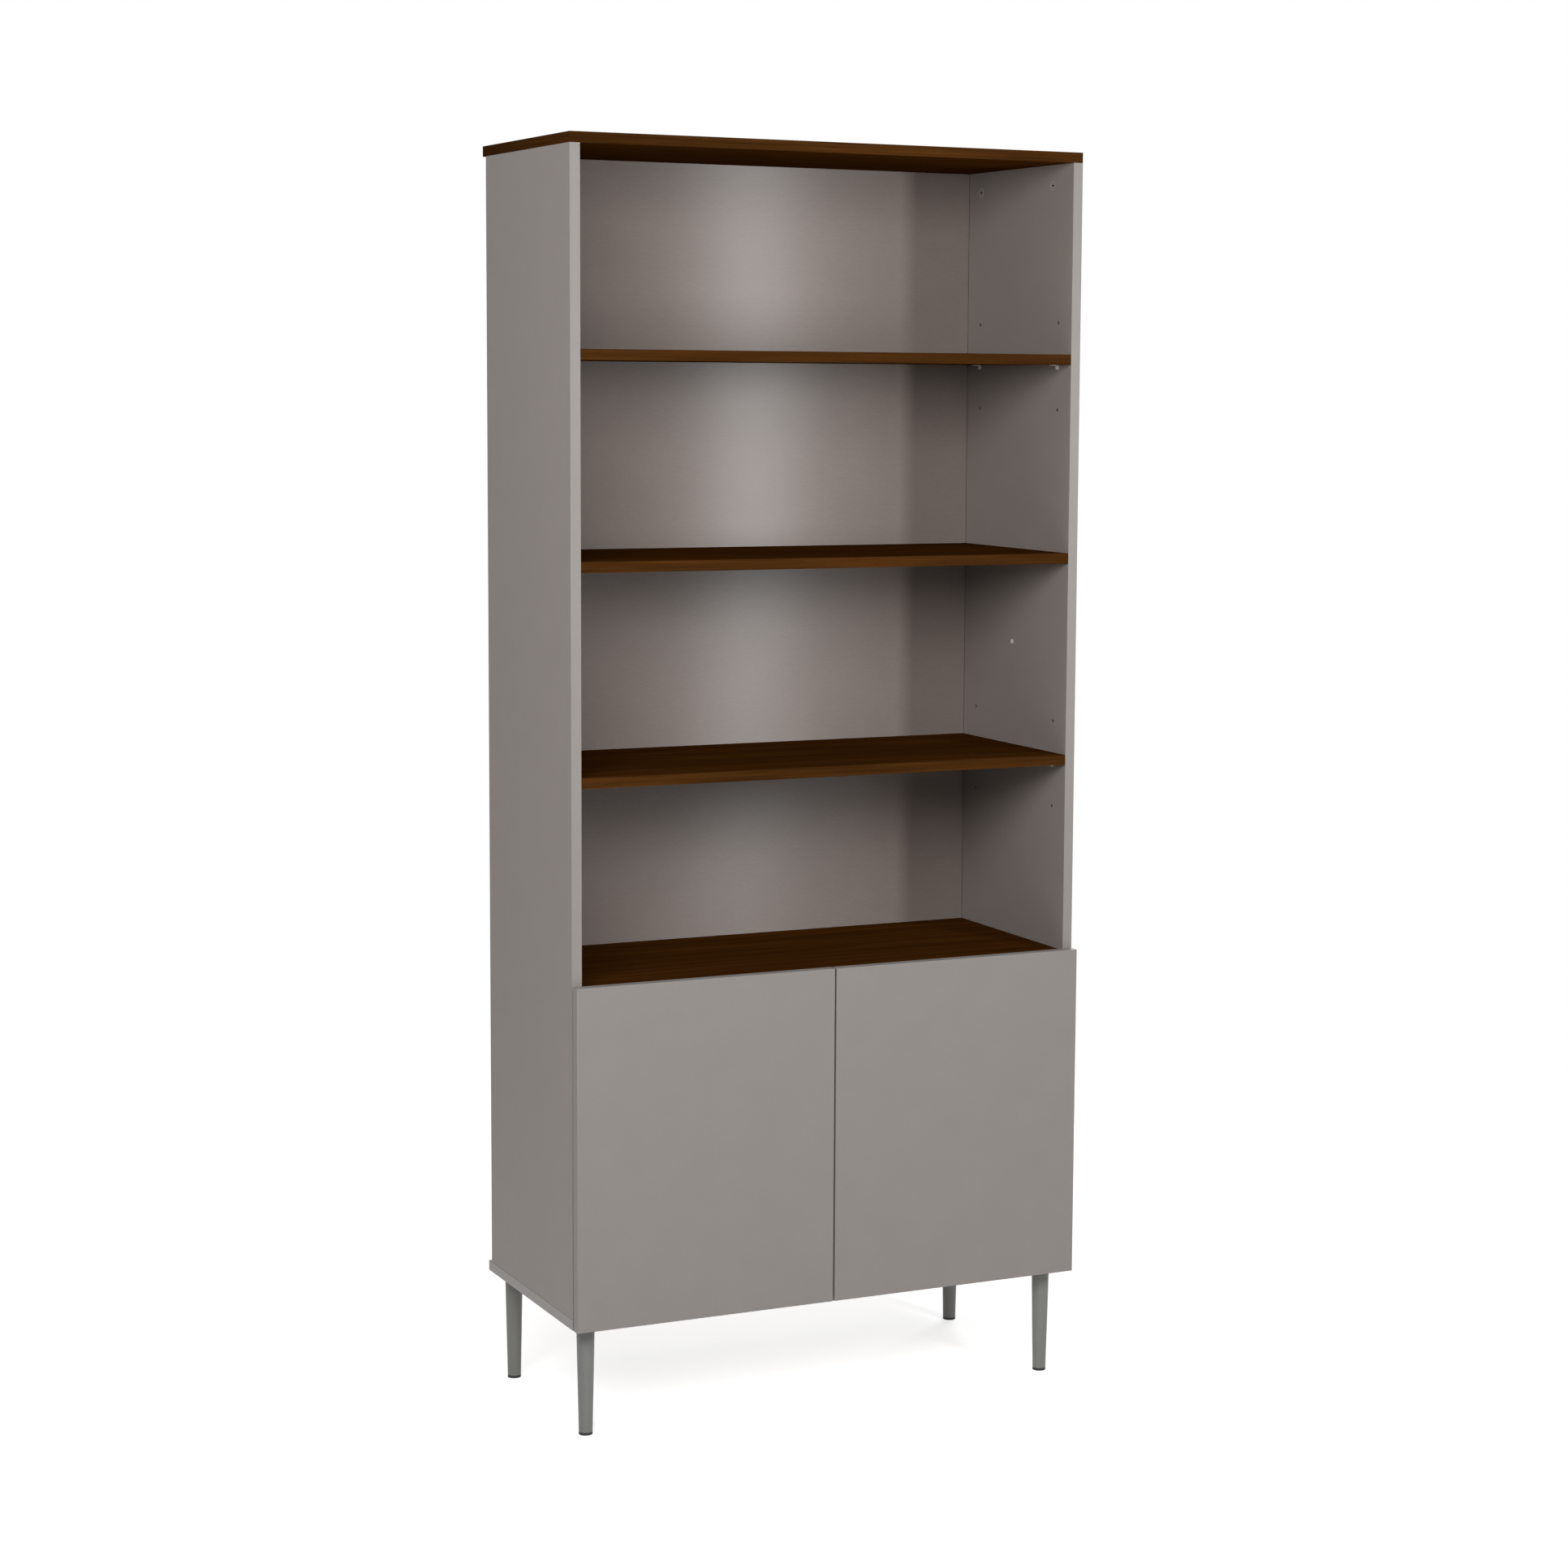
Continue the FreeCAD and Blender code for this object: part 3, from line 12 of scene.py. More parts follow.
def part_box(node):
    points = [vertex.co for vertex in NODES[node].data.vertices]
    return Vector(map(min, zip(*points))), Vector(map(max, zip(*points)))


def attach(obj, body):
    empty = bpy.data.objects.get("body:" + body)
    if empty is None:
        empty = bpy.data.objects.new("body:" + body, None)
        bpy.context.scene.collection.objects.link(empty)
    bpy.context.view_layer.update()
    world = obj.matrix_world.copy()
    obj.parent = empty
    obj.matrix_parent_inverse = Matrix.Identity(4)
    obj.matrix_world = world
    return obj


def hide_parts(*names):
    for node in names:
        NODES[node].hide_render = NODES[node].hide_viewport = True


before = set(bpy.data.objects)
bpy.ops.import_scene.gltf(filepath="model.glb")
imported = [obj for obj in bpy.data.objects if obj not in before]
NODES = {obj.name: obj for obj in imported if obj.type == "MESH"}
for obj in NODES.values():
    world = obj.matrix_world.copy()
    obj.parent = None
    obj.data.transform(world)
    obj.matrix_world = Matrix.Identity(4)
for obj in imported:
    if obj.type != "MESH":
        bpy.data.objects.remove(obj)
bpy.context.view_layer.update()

MM = 0.001
WHITE = (1.0, 1.0, 1.0, 1.0)
(_, _, PANEL_FOOT), (INNER_WALL_X, PANEL_REAR, _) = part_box("left_side_panel")
INNER_WALL = abs(INNER_WALL_X)
OUTER_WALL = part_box("right_side_panel")[1][0]
CAM_SHELVES = ("cupboard_top_board", "middle_fixed_shelf")

# how close to a surface a marked place may come, all measured from the CAD faces
COAT = 0.4 * MM            # deeper than this, a side panel's bores and groove get painted shade, a dark brown
CAM_FACE = 0.3 * MM        # deeper than this, a cam lock's recess gets painted shade
CAM_WIDTH = 15.0 * MM
FOOT_JOINT = 0.8 * MM      # height of the dark line over the bottom board: the joint's line, with painted shade in its crease
TURNED_BACK = 0.9          # a normal's Y part from which a face looks backwards
TURNED_ASIDE = 0.7         # a normal's X part from which a face looks along X


# ---------------------------------------------------------------------------------------------
# material kit
# ---------------------------------------------------------------------------------------------

def colour(code):
    """A linear RGBA colour from six hexadecimal sRGB digits."""
    channels = []
    for start in (0, 2, 4):
        level = int(code[start:start + 2], 16) / 255
        low_part = level <= 0.04045
        channels.append(level / 12.92 if low_part else ((level + 0.055) / 1.055) ** 2.4)
    return (*channels, 1.0)


class Finish:
    """A material under construction, with one Principled shader."""

    def __init__(self, name, **sockets):
        self.material = bpy.data.materials.new(name)
        self.material.use_nodes = True
        self.tree = self.material.node_tree
        self.tree.nodes.clear()
        output = self.tree.nodes.new("ShaderNodeOutputMaterial")
        self.shader = self.tree.nodes.new("ShaderNodeBsdfPrincipled")
        self.tree.links.new(self.shader.outputs["BSDF"], output.inputs["Surface"])
        for socket, value in sockets.items():
            self.shader.inputs[socket.replace("_", " ")].default_value = value
        self.place = self.add("TexCoord").outputs["Object"]

    def add(self, kind, settings=(), **inputs):
        """A node with settings and inputs; an input named _0 is the node's first by number."""
        node = self.tree.nodes.new("ShaderNode" + kind)
        for name, value in dict(settings).items():
            setattr(node, name, value)
        for name, value in inputs.items():
            name = name.replace("_", " ")
            socket = node.inputs[int(name[1:])] if name[1:].isdigit() else node.inputs[name]
            if isinstance(value, bpy.types.NodeSocket):
                self.tree.links.new(value, socket)
            else:
                socket.default_value = value
        return node

    def stretch(self, scale, source=None):
        """Coordinates scaled by a factor for each axis."""
        moved = self.add("Mapping", Vector=source or self.place, Scale=scale)
        return moved.outputs["Vector"]

    def noise(self, scale, detail=2.0, rough=0.5, source=None):
        """Noise with so many blotches a metre along each axis."""
        if isinstance(scale, (int, float)):
            scale = (scale, scale, scale)
        vector = self.stretch(scale, source)
        node = self.add("TexNoise", Vector=vector, Scale=1.0, Detail=detail, Roughness=rough)
        return node.outputs["Fac"]

    def ramp(self, factor, stops):
        """A colour ramp through (position, colour) stops."""
        node = self.add("ValToRGB", Fac=factor)
        elements = node.color_ramp.elements
        while len(elements) < len(stops):
            elements.new(0.5)
        for element, (position, tint) in zip(elements, stops):
            element.position = position
            element.color = tint
        return node.outputs["Color"]

    def span(self, factor, low, high, out_low, out_high):
        """A value moved from one range into another."""
        node = self.add("MapRange", Value=factor)
        for socket, value in (("From Min", low), ("From Max", high), ("To Min", out_low),
                              ("To Max", out_high)):
            node.inputs[socket].default_value = value
        return node.outputs["Result"]

    def maths(self, operation, first, second=0.0):
        node = self.add("Math", {"operation": operation}, _0=first, _1=second)
        return node.outputs["Value"]

    def mix(self, factor, first, second):
        """The first colour where the factor is 0, the second where it is 1."""
        node = self.add("Mix", {"data_type": "RGBA"})
        for index, value in ((0, factor), (6, first), (7, second)):
            if isinstance(value, bpy.types.NodeSocket):
                self.tree.links.new(value, node.inputs[index])
            else:
                node.inputs[index].default_value = value
        return node.outputs[2]

    def bump(self, height, depth, strength=1.0):
        """A relief so many metres deep."""
        node = self.add("Bump", Height=height, Distance=depth, Strength=strength)
        return node.outputs["Normal"]

    def blend(self, *weighted):
        """The sum of values, each times its weight."""
        total = None
        for source, weight in weighted:
            part = self.maths("MULTIPLY", source, weight)
            total = part if total is None else self.maths("ADD", total, part)
        return total

    def put(self, socket, source):
        """Links a source to a socket of the shader."""
        self.tree.links.new(source, self.shader.inputs[socket])


def chipboard(made):
    """The bare core of a coated board: pale and dark flakes pressed together."""
    flakes = made.add("TexVoronoi", Vector=made.stretch((700.0, 1100.0, 1100.0)), Scale=1.0)
    parts = made.add("SeparateColor", Color=flakes.outputs["Color"])
    tone = made.blend((parts.outputs["Red"], 0.7), (made.noise(1800.0), 0.3))
    return made.ramp(tone, [(0.1, colour("7a5b44")), (0.5, colour("a98a6d")),
                            (0.95, colour("cbb094"))])


def hardboard(made):
    """The bare reverse of a hardboard sheet: brown felted fibres with a fine mesh mark."""
    fibres = made.noise(260.0, detail=4.0, rough=0.7)
    weave = made.noise(900.0, detail=1.0)
    tone = made.blend((fibres, 0.7), (weave, 0.3))
    return made.ramp(tone, [(0.3, colour("6a4a30")), (0.7, colour("86644a"))])


def between(made, source, low, high):
    """1 where a coordinate lies between two places, else 0."""
    return made.maths("MULTIPLY", made.maths("GREATER_THAN", source, low),
                      made.maths("LESS_THAN", source, high))


def bared(made, coat, core):
    """The coat, with the bare core on faces that look backwards."""
    normal = made.add("SeparateXYZ", Vector=made.add("TexCoord").outputs["Normal"])
    backwards = made.maths("GREATER_THAN", normal.outputs["Y"], TURNED_BACK)
    return made.mix(backwards, coat, core(made))


def bored_with_painted_shade(made, coat):
    """A side panel's coat: painted shade in its bores and groove, a dark joint line with painted
    shade along its foot, bare at the rear.
    """
    place = made.add("SeparateXYZ", Vector=made.place)
    width = made.maths("ABSOLUTE", place.outputs["X"])
    # painted shade: the walls inside the board, in the bores and the groove, are coloured dark
    # brown
    painted_bore_shade = between(made, width, INNER_WALL + COAT, OUTER_WALL - COAT)
    # a dark line over the bottom board: partly the joint's own line, partly painted shade in the
    # joint's crease
    foot = made.maths("LESS_THAN", place.outputs["Z"], PANEL_FOOT + FOOT_JOINT)
    coat = made.mix(foot, coat, colour("4a443f"))
    coat = made.mix(painted_bore_shade, coat, colour("3a2a1d"))
    rear = made.maths("GREATER_THAN", place.outputs["Y"], PANEL_REAR - COAT)
    return made.mix(rear, coat, chipboard(made))


def tucked_with_painted_shade(made, coat):
    """The back sheet's coat, with painted shade where the sheet runs into the side panels'
    grooves.
    """
    place = made.add("SeparateXYZ", Vector=made.place)
    width = made.maths("ABSOLUTE", place.outputs["X"])
    # painted shade: the sheet is coloured dark where it lies inside the grooves
    return made.mix(made.maths("GREATER_THAN", width, INNER_WALL), coat, colour("3f3833"))


def slotted_with_painted_shade(made, coat):
    """A cam lock's bright face, with painted shade in its cross recess."""
    place = made.add("SeparateXYZ", Vector=made.place)
    width = made.maths("ABSOLUTE", place.outputs["X"])
    deep = made.maths("GREATER_THAN", width, INNER_WALL + CAM_FACE)
    for shelf in CAM_SHELVES:
        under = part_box(shelf)[0][2]
        above = between(made, place.outputs["Z"], under + CAM_FACE, under + CAM_WIDTH)
        deep = made.maths("MAXIMUM", deep, above)
    # painted shade: the recess is coloured near-black
    return made.mix(deep, coat, colour("1a1918"))


def painted(name, dark, light, blotch, gloss, grain, relief, streak_axis=None, core=None,
            marks=None, **sockets):
    """A coated surface: slight cloudiness, a fine grain in the colour and a fine relief.

    Where the coating has a lengthwise grain, its highlights are drawn out at right angles to it.
    """
    made = Finish(name, **sockets)
    if streak_axis:
        streak = made.add("Tangent", {"direction_type": "RADIAL", "axis": streak_axis})
        made.put("Tangent", streak.outputs["Tangent"])
    cloud = made.noise(blotch, detail=1.0)
    speck = made.noise(grain, detail=1.0)
    tone = made.blend((cloud, 0.25), (speck, 0.75))
    coat = made.ramp(tone, [(0.3, colour(dark)), (0.7, colour(light))])
    if marks:
        coat = marks(made, coat)
    if core:
        coat = bared(made, coat, core)
    made.put("Base Color", coat)
    made.put("Roughness", made.span(speck, 0.2, 0.8, gloss - 0.02, gloss + 0.02))
    made.put("Normal", made.bump(speck, relief))
    return made.material


def metal(name, dark, light, gloss, brush, **sockets):
    """A plated metal surface with faint drawn lines and a duller bloom in patches."""
    made = Finish(name, Metallic=1.0, **sockets)
    bloom = made.noise(90.0, detail=3.0)
    lines = made.noise(brush, detail=2.0)
    made.put("Base Color", made.ramp(bloom, [(0.3, colour(dark)), (0.7, colour(light))]))
    made.put("Roughness", made.span(lines, 0.3, 0.7, gloss - 0.06, gloss + 0.08))
    made.put("Normal", made.bump(lines, 0.02 * MM))
    return made.material


def wood_print(name, tones, gloss, pores, figure, turned_ends=False, core=None, **sockets):
    """A wood print whose grain runs along X or, with turned_ends, along Y on faces along X.

    tones are the dark, middle and light colour, pores the pores' strength and figure the
    growth rings' frequency.
    """
    made = Finish(name, **sockets)
    place = made.place
    if turned_ends:
        normal = made.add("SeparateXYZ", Vector=made.add("TexCoord").outputs["Normal"])
        aside = made.maths("ABSOLUTE", normal.outputs["X"])
        faces_x = made.maths("GREATER_THAN", aside, TURNED_ASIDE)
        parts = made.add("SeparateXYZ", Vector=place)
        turned = made.add("CombineXYZ", X=parts.outputs["Y"], Y=parts.outputs["X"],
                          Z=parts.outputs["Z"])
        chosen = made.add("Mix", {"data_type": "VECTOR"})
        for index, source in ((0, faces_x), (4, place), (5, turned.outputs["Vector"])):
            made.tree.links.new(source, chosen.inputs[index])
        place = chosen.outputs[1]
    sway = made.noise((1.7, 9.0, 9.0), detail=2.0, source=place)
    parts = made.add("SeparateXYZ", Vector=place)
    tilted = made.maths("MULTIPLY", parts.outputs["Z"], 0.8)
    across = made.maths("ADD", parts.outputs["Y"], tilted)
    phase = made.blend((across, figure), (sway, 26.0))
    rings = made.span(made.maths("SINE", phase), -1.0, 1.0, 0.0, 1.0)
    streaks = made.noise((5.0, 330.0, 330.0), detail=3.0, rough=0.6, source=place)
    patches = made.noise((2.2, 14.0, 14.0), detail=2.0, source=place)
    tone = made.blend((rings, 0.10), (streaks, 0.52), (patches, 0.38))
    dark, middle, light = tones
    body = made.ramp(tone, [(0.32, colour(dark)), (0.5, colour(middle)), (0.68, colour(light))])
    pore = made.noise((55.0, 1500.0, 1500.0), detail=1.0, source=place)
    open_pore = made.span(pore, 0.60, 0.70, 0.0, 1.0)
    coat = made.mix(made.maths("MULTIPLY", open_pore, pores), body, colour(dark))
    if core:
        coat = bared(made, coat, core)
    made.put("Base Color", coat)
    made.put("Roughness", made.span(streaks, 0.3, 0.7, gloss - 0.05, gloss + 0.05))
    made.put("Normal", made.bump(made.maths("SUBTRACT", 1.0, open_pore), 0.05 * MM, 0.5))
    return made.material


# ---------------------------------------------------------------------------------------------
# finishes, one for each material slot, and one more for the side panels
# ---------------------------------------------------------------------------------------------

FINISHES = {
    "walnut_board": wood_print("walnut_board", ("3c2009", "482a0d", "573413"), 0.5, 0.6, 190.0,
                               core=chipboard, Specular_IOR_Level=0.0),
    "walnut_edging": wood_print("walnut_edging", ("351e0a", "442910", "563415"), 0.5, 0.5, 190.0,
                                turned_ends=True, Specular_IOR_Level=0.0),
    "grey_board": painted("grey_board", "8f8681", "968d88", 22.0, 0.5, 1400.0, 0.02 * MM,
                          core=chipboard, Specular_IOR_Level=0.35),
    # the side panels' coat carries painted shade in the bores and groove and along the foot
    "side_panel": painted("side_panel", "8f8681", "968d88", 22.0, 0.5, 1400.0, 0.02 * MM,
                          marks=bored_with_painted_shade, Specular_IOR_Level=0.35),
    "grey_edging": painted("grey_edging", "8d8884", "948f8a", 30.0, 0.42, 1200.0, 0.02 * MM,
                           Specular_IOR_Level=0.45),
    "door_front": painted("door_front", "8b8582", "928c88", 16.0, 0.52, 1700.0, 0.015 * MM,
                          Specular_IOR_Level=0.35),
    # the back sheet's coat carries painted shade where it runs into the grooves
    "back_hardboard": painted("back_hardboard", "867b75", "8e837d", 12.0, 0.33,
                              (120.0, 900.0, 1500.0), 0.01 * MM, streak_axis="X", core=hardboard,
                              marks=tucked_with_painted_shade, Specular_IOR_Level=0.4, Anisotropic=1.0),
    "leg_steel": painted("leg_steel", "787874", "80807c", 40.0, 0.45, 2600.0, 0.03 * MM,
                         Specular_IOR_Level=0.4),
    "black_plastic": painted("black_plastic", "121212", "1c1c1c", 60.0, 0.6, 2500.0, 0.03 * MM),
    "pale_plastic": painted("pale_plastic", "e6e2da", "f0ece4", 60.0, 0.22, 2000.0, 0.01 * MM,
                            Specular_IOR_Level=0.9),
    "grey_plastic": painted("grey_plastic", "8d8d8b", "999997", 60.0, 0.45, 2200.0, 0.02 * MM),
    "beech": wood_print("beech", ("a97c4f", "c39764", "d3ab7c"), 0.6, 0.4, 260.0),
    "nickel_pins": metal("nickel_pins", "a9a7a2", "bdbbb6", 0.28, 700.0),
    # the cam locks' coat carries painted shade in their recesses
    "zinc_casting": painted("zinc_casting", "a5a3a0", "b6b4b1", 300.0, 0.45, 2500.0, 0.04 * MM,
                            marks=slotted_with_painted_shade, Metallic=0.3, Specular_IOR_Level=0.5),
    "zinc_steel": metal("zinc_steel", "9c9ea0", "b2b4b6", 0.33, 800.0),
    "nickel_steel": metal("nickel_steel", "b0aea9", "c6c4bf", 0.24, (300.0, 300.0, 1600.0)),
}

FINISH_NODES = {
    "walnut_board": ["top_board", "cupboard_top_board", "middle_fixed_shelf",
                     "upper_loose_shelf", "lower_loose_shelf"],
    "walnut_edging": ["walnut_edge_bands"],
    "grey_board": ["bottom_board", "cupboard_loose_shelf"],
    "side_panel": ["left_side_panel", "right_side_panel"],
    "grey_edging": ["grey_edge_bands"],
    "back_hardboard": ["back_sheet"],
    "door_front": ["left_door", "right_door"],
    "leg_steel": ["front_left_leg", "front_right_leg", "rear_left_leg", "rear_right_leg",
                  "leg_plates"],
    "black_plastic": ["foot_glides"],
    "pale_plastic": ["blanking_caps", "inner_shelf_supports", "lower_shelf_supports",
                     "upper_shelf_supports"],
    "grey_plastic": ["left_latch_housing", "right_latch_housing", "left_latch_plunger",
                     "right_latch_plunger"],
    "beech": ["wooden_dowels"],
    "zinc_casting": ["cam_locks"],
    "zinc_steel": ["cam_bolts", "left_strike_plate", "right_strike_plate", "left_latch_magnet",
                   "right_latch_magnet"],
    "nickel_steel": ["left_hinge_cups", "right_hinge_cups", "left_hinge_arms",
                     "right_hinge_arms", "left_hinge_plates", "right_hinge_plates"],
    "nickel_pins": ["left_hinge_pins", "right_hinge_pins"],
}


def dress(thing, finish):
    """Gives a thing one material and no other."""
    thing.data.materials.clear()
    thing.data.materials.append(finish)


for finish, names in FINISH_NODES.items():
    for name in names:
        dress(NODES[name], FINISHES[finish])


# ---------------------------------------------------------------------------------------------
# softened edges on the boards
# ---------------------------------------------------------------------------------------------

BOARD_EDGE = 0.25 * MM
BAND_EDGE = 0.2 * MM
SAME_POINT = 0.01 * MM     # nearer than this, two points are one
SHARP = math.radians(40)


def soften(name, width):
    """Welds the faces' meshes and breaks their sharp edges, so that they catch the light."""
    weld = NODES[name].modifiers.new("weld", "WELD")
    weld.merge_threshold = SAME_POINT
    bevel = NODES[name].modifiers.new("bevel", "BEVEL")
    bevel.width = width
    bevel.segments = 2
    bevel.limit_method = "ANGLE"
    bevel.angle_limit = SHARP
    bevel.harden_normals = True


for finish in ("walnut_board", "grey_board", "side_panel"):
    for name in FINISH_NODES[finish]:
        soften(name, BOARD_EDGE)
for name in ("walnut_edge_bands", "grey_edge_bands"):
    soften(name, BAND_EDGE)


# ---------------------------------------------------------------------------------------------
# screws with cross recesses and threads, in place of the frame's plain ones
# ---------------------------------------------------------------------------------------------

AROUND = 20                # points round a screw
THREAD_STEPS = 4           # rows of points to one turn of the thread
THREAD_DEPTH = 0.26        # as a share of the shank's radius
TIP_TURNS = 3.0            # turns over which the point tapers
TIP_RADIUS = 0.2           # the point's end, as a share of the shank's radius
HEAD_TURN = 0.7            # radians from one screw's recess to the next one's
DOME = 0.35                # the rounded part of the head, as a share of its height
SHOULDER_DROP = 0.25       # the shoulder's place below the top, as a share of the dome
SHOULDER_RADIUS = 0.86     # from here on as shares of the head's radius
CROWN_RADIUS = 0.66
RECESS_ARM, RECESS_HALF_WIDTH = 0.56, 0.13         # the cross at the head's top
BOTTOM_ARM, BOTTOM_HALF_WIDTH = 0.26, 0.08         # and at the recess's bottom
RECESS_DEPTH = 0.75        # as a share of the head's height
OUT_OF_LEFT_WALL = (1, 0, 0)
OUT_OF_RIGHT_WALL = (-1, 0, 0)
TO_BACK = (0, 1, 0)
DOWN = (0, 0, -1)


def solids(name):
    """The box of each separate solid in a CAD node, as (lowest corner, highest corner)."""
    mesh = NODES[name].data
    spot = {}
    key_of = []
    for vertex in mesh.vertices:
        key = tuple(round(c / SAME_POINT) for c in vertex.co)
        key_of.append(spot.setdefault(key, len(spot)))
    root = list(range(len(spot)))

    def find(i):
        """The point that stands for all those joined to point i."""
        while root[i] != i:
            root[i] = root[root[i]]
            i = root[i]
        return i

    for polygon in mesh.polygons:
        first = find(key_of[polygon.vertices[0]])
        for v in polygon.vertices:
            root[find(key_of[v])] = first
    boxes = {}
    for vertex, key in zip(mesh.vertices, key_of):
        low, high = boxes.setdefault(find(key), (vertex.co.copy(), vertex.co.copy()))
        for axis in range(3):
            low[axis] = min(low[axis], vertex.co[axis])
            high[axis] = max(high[axis], vertex.co[axis])
    return sorted(boxes.values(), key=lambda box: tuple(round(c, 5) for c in box[0]))


def ring(shape, radius, height):
    """A circle of new vertices round Z."""
    return [shape.verts.new((radius * math.cos(2 * math.pi * i / AROUND),
                             radius * math.sin(2 * math.pi * i / AROUND), height))
            for i in range(AROUND)]


def band(shape, lower, upper):
    """Quads between two closed loops of as many vertices."""
    for i in range(len(lower)):
        j = (i + 1) % len(lower)
        shape.faces.new((lower[i], lower[j], upper[j], upper[i]))


def cross(shape, arm, half, height):
    """The twelve corners of a cross, going round anticlockwise."""
    quarter = [(arm, -half), (arm, half), (half, half)]
    corners = []
    for turn in range(4):
        for x, y in quarter:
            for _ in range(turn):
                x, y = -y, x
            corners.append(shape.verts.new((x, y, height)))
    return corners


def screw_mesh(head_radius, head_height, shank_radius, length, pitch):
    """A screw along Z: its head's top is at the origin and its point reaches down."""
    shape = bmesh.new()
    dome = DOME * head_height
    rim = ring(shape, head_radius, -head_height)
    wall = ring(shape, head_radius, -dome)
    band(shape, rim, wall)
    shoulder = ring(shape, SHOULDER_RADIUS * head_radius, -SHOULDER_DROP * dome)
    band(shape, wall, shoulder)
    crown = ring(shape, CROWN_RADIUS * head_radius, 0.0)
    band(shape, shoulder, crown)
    mouth = cross(shape, RECESS_ARM * head_radius, RECESS_HALF_WIDTH * head_radius, 0.0)
    edges = [shape.edges.new((mouth[i - 1], mouth[i])) for i in range(len(mouth))]
    edges += [shape.edges.get((crown[i - 1], crown[i])) for i in range(AROUND)]
    bmesh.ops.triangle_fill(shape, edges=edges, use_beauty=True, normal=(0, 0, 1))
    bottom = cross(shape, BOTTOM_ARM * head_radius, BOTTOM_HALF_WIDTH * head_radius,
                   -RECESS_DEPTH * head_height)
    band(shape, bottom, mouth)
    shape.faces.new(bottom)
    below = ring(shape, shank_radius, -head_height)
    band(shape, below, rim)
    count = max(2, int(length / pitch * THREAD_STEPS))
    tip = TIP_TURNS * pitch
    for row in range(1, count + 1):
        depth = length * row / count
        taper = min(1.0, (length - depth) / tip * (1.0 - TIP_RADIUS) + TIP_RADIUS)
        turn = []
        for i in range(AROUND):
            phase = (depth / pitch + i / AROUND) % 1.0
            crest = 1.0 - abs(2.0 * phase - 1.0)
            reach = shank_radius * taper * (1.0 - THREAD_DEPTH + THREAD_DEPTH * crest)
            angle = 2 * math.pi * i / AROUND
            turn.append(shape.verts.new((reach * math.cos(angle), reach * math.sin(angle),
                                         -head_height - depth)))
        band(shape, turn, below)
        below = turn
    shape.faces.new(list(reversed(below)))
    bmesh.ops.recalc_face_normals(shape, faces=shape.faces)
    return shape


def detailed_screws(node, body, slot, head_way, head_height, shank_radius, pitch):
    """Replaces a node of plain screws by detailed ones in the same places.

    Where the heads look inwards from both side walls, head_way is None.
    """
    whole = bmesh.new()
    for number, (low, high) in enumerate(solids(node)):
        centre = (low + high) / 2
        way = Vector(head_way or (OUT_OF_LEFT_WALL if centre.x < 0 else OUT_OF_RIGHT_WALL))
        axis = max(range(3), key=lambda i: abs(way[i]))
        sides = [i for i in range(3) if i != axis]
        turn = way.to_track_quat("Z", "Y").to_matrix().to_4x4()
        top = centre.copy()
        top[axis] = high[axis] if way[axis] > 0 else low[axis]
        radius = (high[sides[0]] - low[sides[0]]) / 2
        length = high[axis] - low[axis] - head_height
        one = screw_mesh(radius, head_height, shank_radius, length, pitch)
        spin = Matrix.Rotation(number * HEAD_TURN, 4, "Z")
        one.transform(Matrix.Translation(top) @ turn @ spin)
        piece = bpy.data.meshes.new("one")
        one.to_mesh(piece)
        one.free()
        whole.from_mesh(piece)
        bpy.data.meshes.remove(piece)
    mesh = bpy.data.meshes.new(node + "_detail")
    whole.to_mesh(mesh)
    whole.free()
    thing = bpy.data.objects.new(node + "_detail", mesh)
    bpy.context.scene.collection.objects.link(thing)
    dress(thing, FINISHES[slot])
    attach(thing, body)
    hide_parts(node)


for side in ("left", "right"):
    detailed_screws(side + "_cup_screws", side + "_door", "zinc_steel", TO_BACK,
                    1.2 * MM, 1.7 * MM, 1.4 * MM)
    detailed_screws(side + "_strike_screw", side + "_door", "zinc_steel", TO_BACK,
                    0.6 * MM, 1.5 * MM, 1.3 * MM)
detailed_screws("latch_screws", "cabinet", "zinc_steel", DOWN, 1.2 * MM, 1.4 * MM, 1.3 * MM)
detailed_screws("leg_screws", "cabinet", "zinc_steel", DOWN, 1.6 * MM, 2.0 * MM, 1.8 * MM)
detailed_screws("hinge_arm_screws", "cabinet", "zinc_steel", None, 1.8 * MM, 1.9 * MM, 0.9 * MM)
detailed_screws("hinge_plate_screws", "cabinet", "zinc_steel", None, 1.5 * MM, 2.4 * MM, 2.0 * MM)


# ---------------------------------------------------------------------------------------------
# floor, light and camera
# ---------------------------------------------------------------------------------------------

def seen_directly(tree):
    """1 for rays from the camera, for reflections and through glass, 0 for the rest."""
    path = tree.nodes.new("ShaderNodeLightPath")
    total = path.outputs["Is Camera Ray"]
    for name in ("Is Glossy Ray", "Is Transmission Ray"):
        more = tree.nodes.new("ShaderNodeMath")
        more.operation = "MAXIMUM"
        tree.links.new(total, more.inputs[0])
        tree.links.new(path.outputs[name], more.inputs[1])
        total = more.outputs["Value"]
    return total


AMBIENT = 0.12             # the white surround's strength as a light; it is seen at 1
world = bpy.data.worlds.new("studio")
bpy.context.scene.world = world
world.use_nodes = True
tree = world.node_tree
tree.nodes.clear()
surround = tree.nodes.new("ShaderNodeBackground")
surround.inputs["Color"].default_value = WHITE
surround.inputs["Strength"].default_value = AMBIENT
shown = tree.nodes.new("ShaderNodeBackground")
shown.inputs["Color"].default_value = WHITE
shown.inputs["Strength"].default_value = 1.0
choice = tree.nodes.new("ShaderNodeMixShader")
tree.links.new(seen_directly(tree), choice.inputs["Fac"])
tree.links.new(surround.outputs["Background"], choice.inputs[1])
tree.links.new(shown.outputs["Background"], choice.inputs[2])
output = tree.nodes.new("ShaderNodeOutputWorld")
tree.links.new(choice.outputs["Shader"], output.inputs["Surface"])

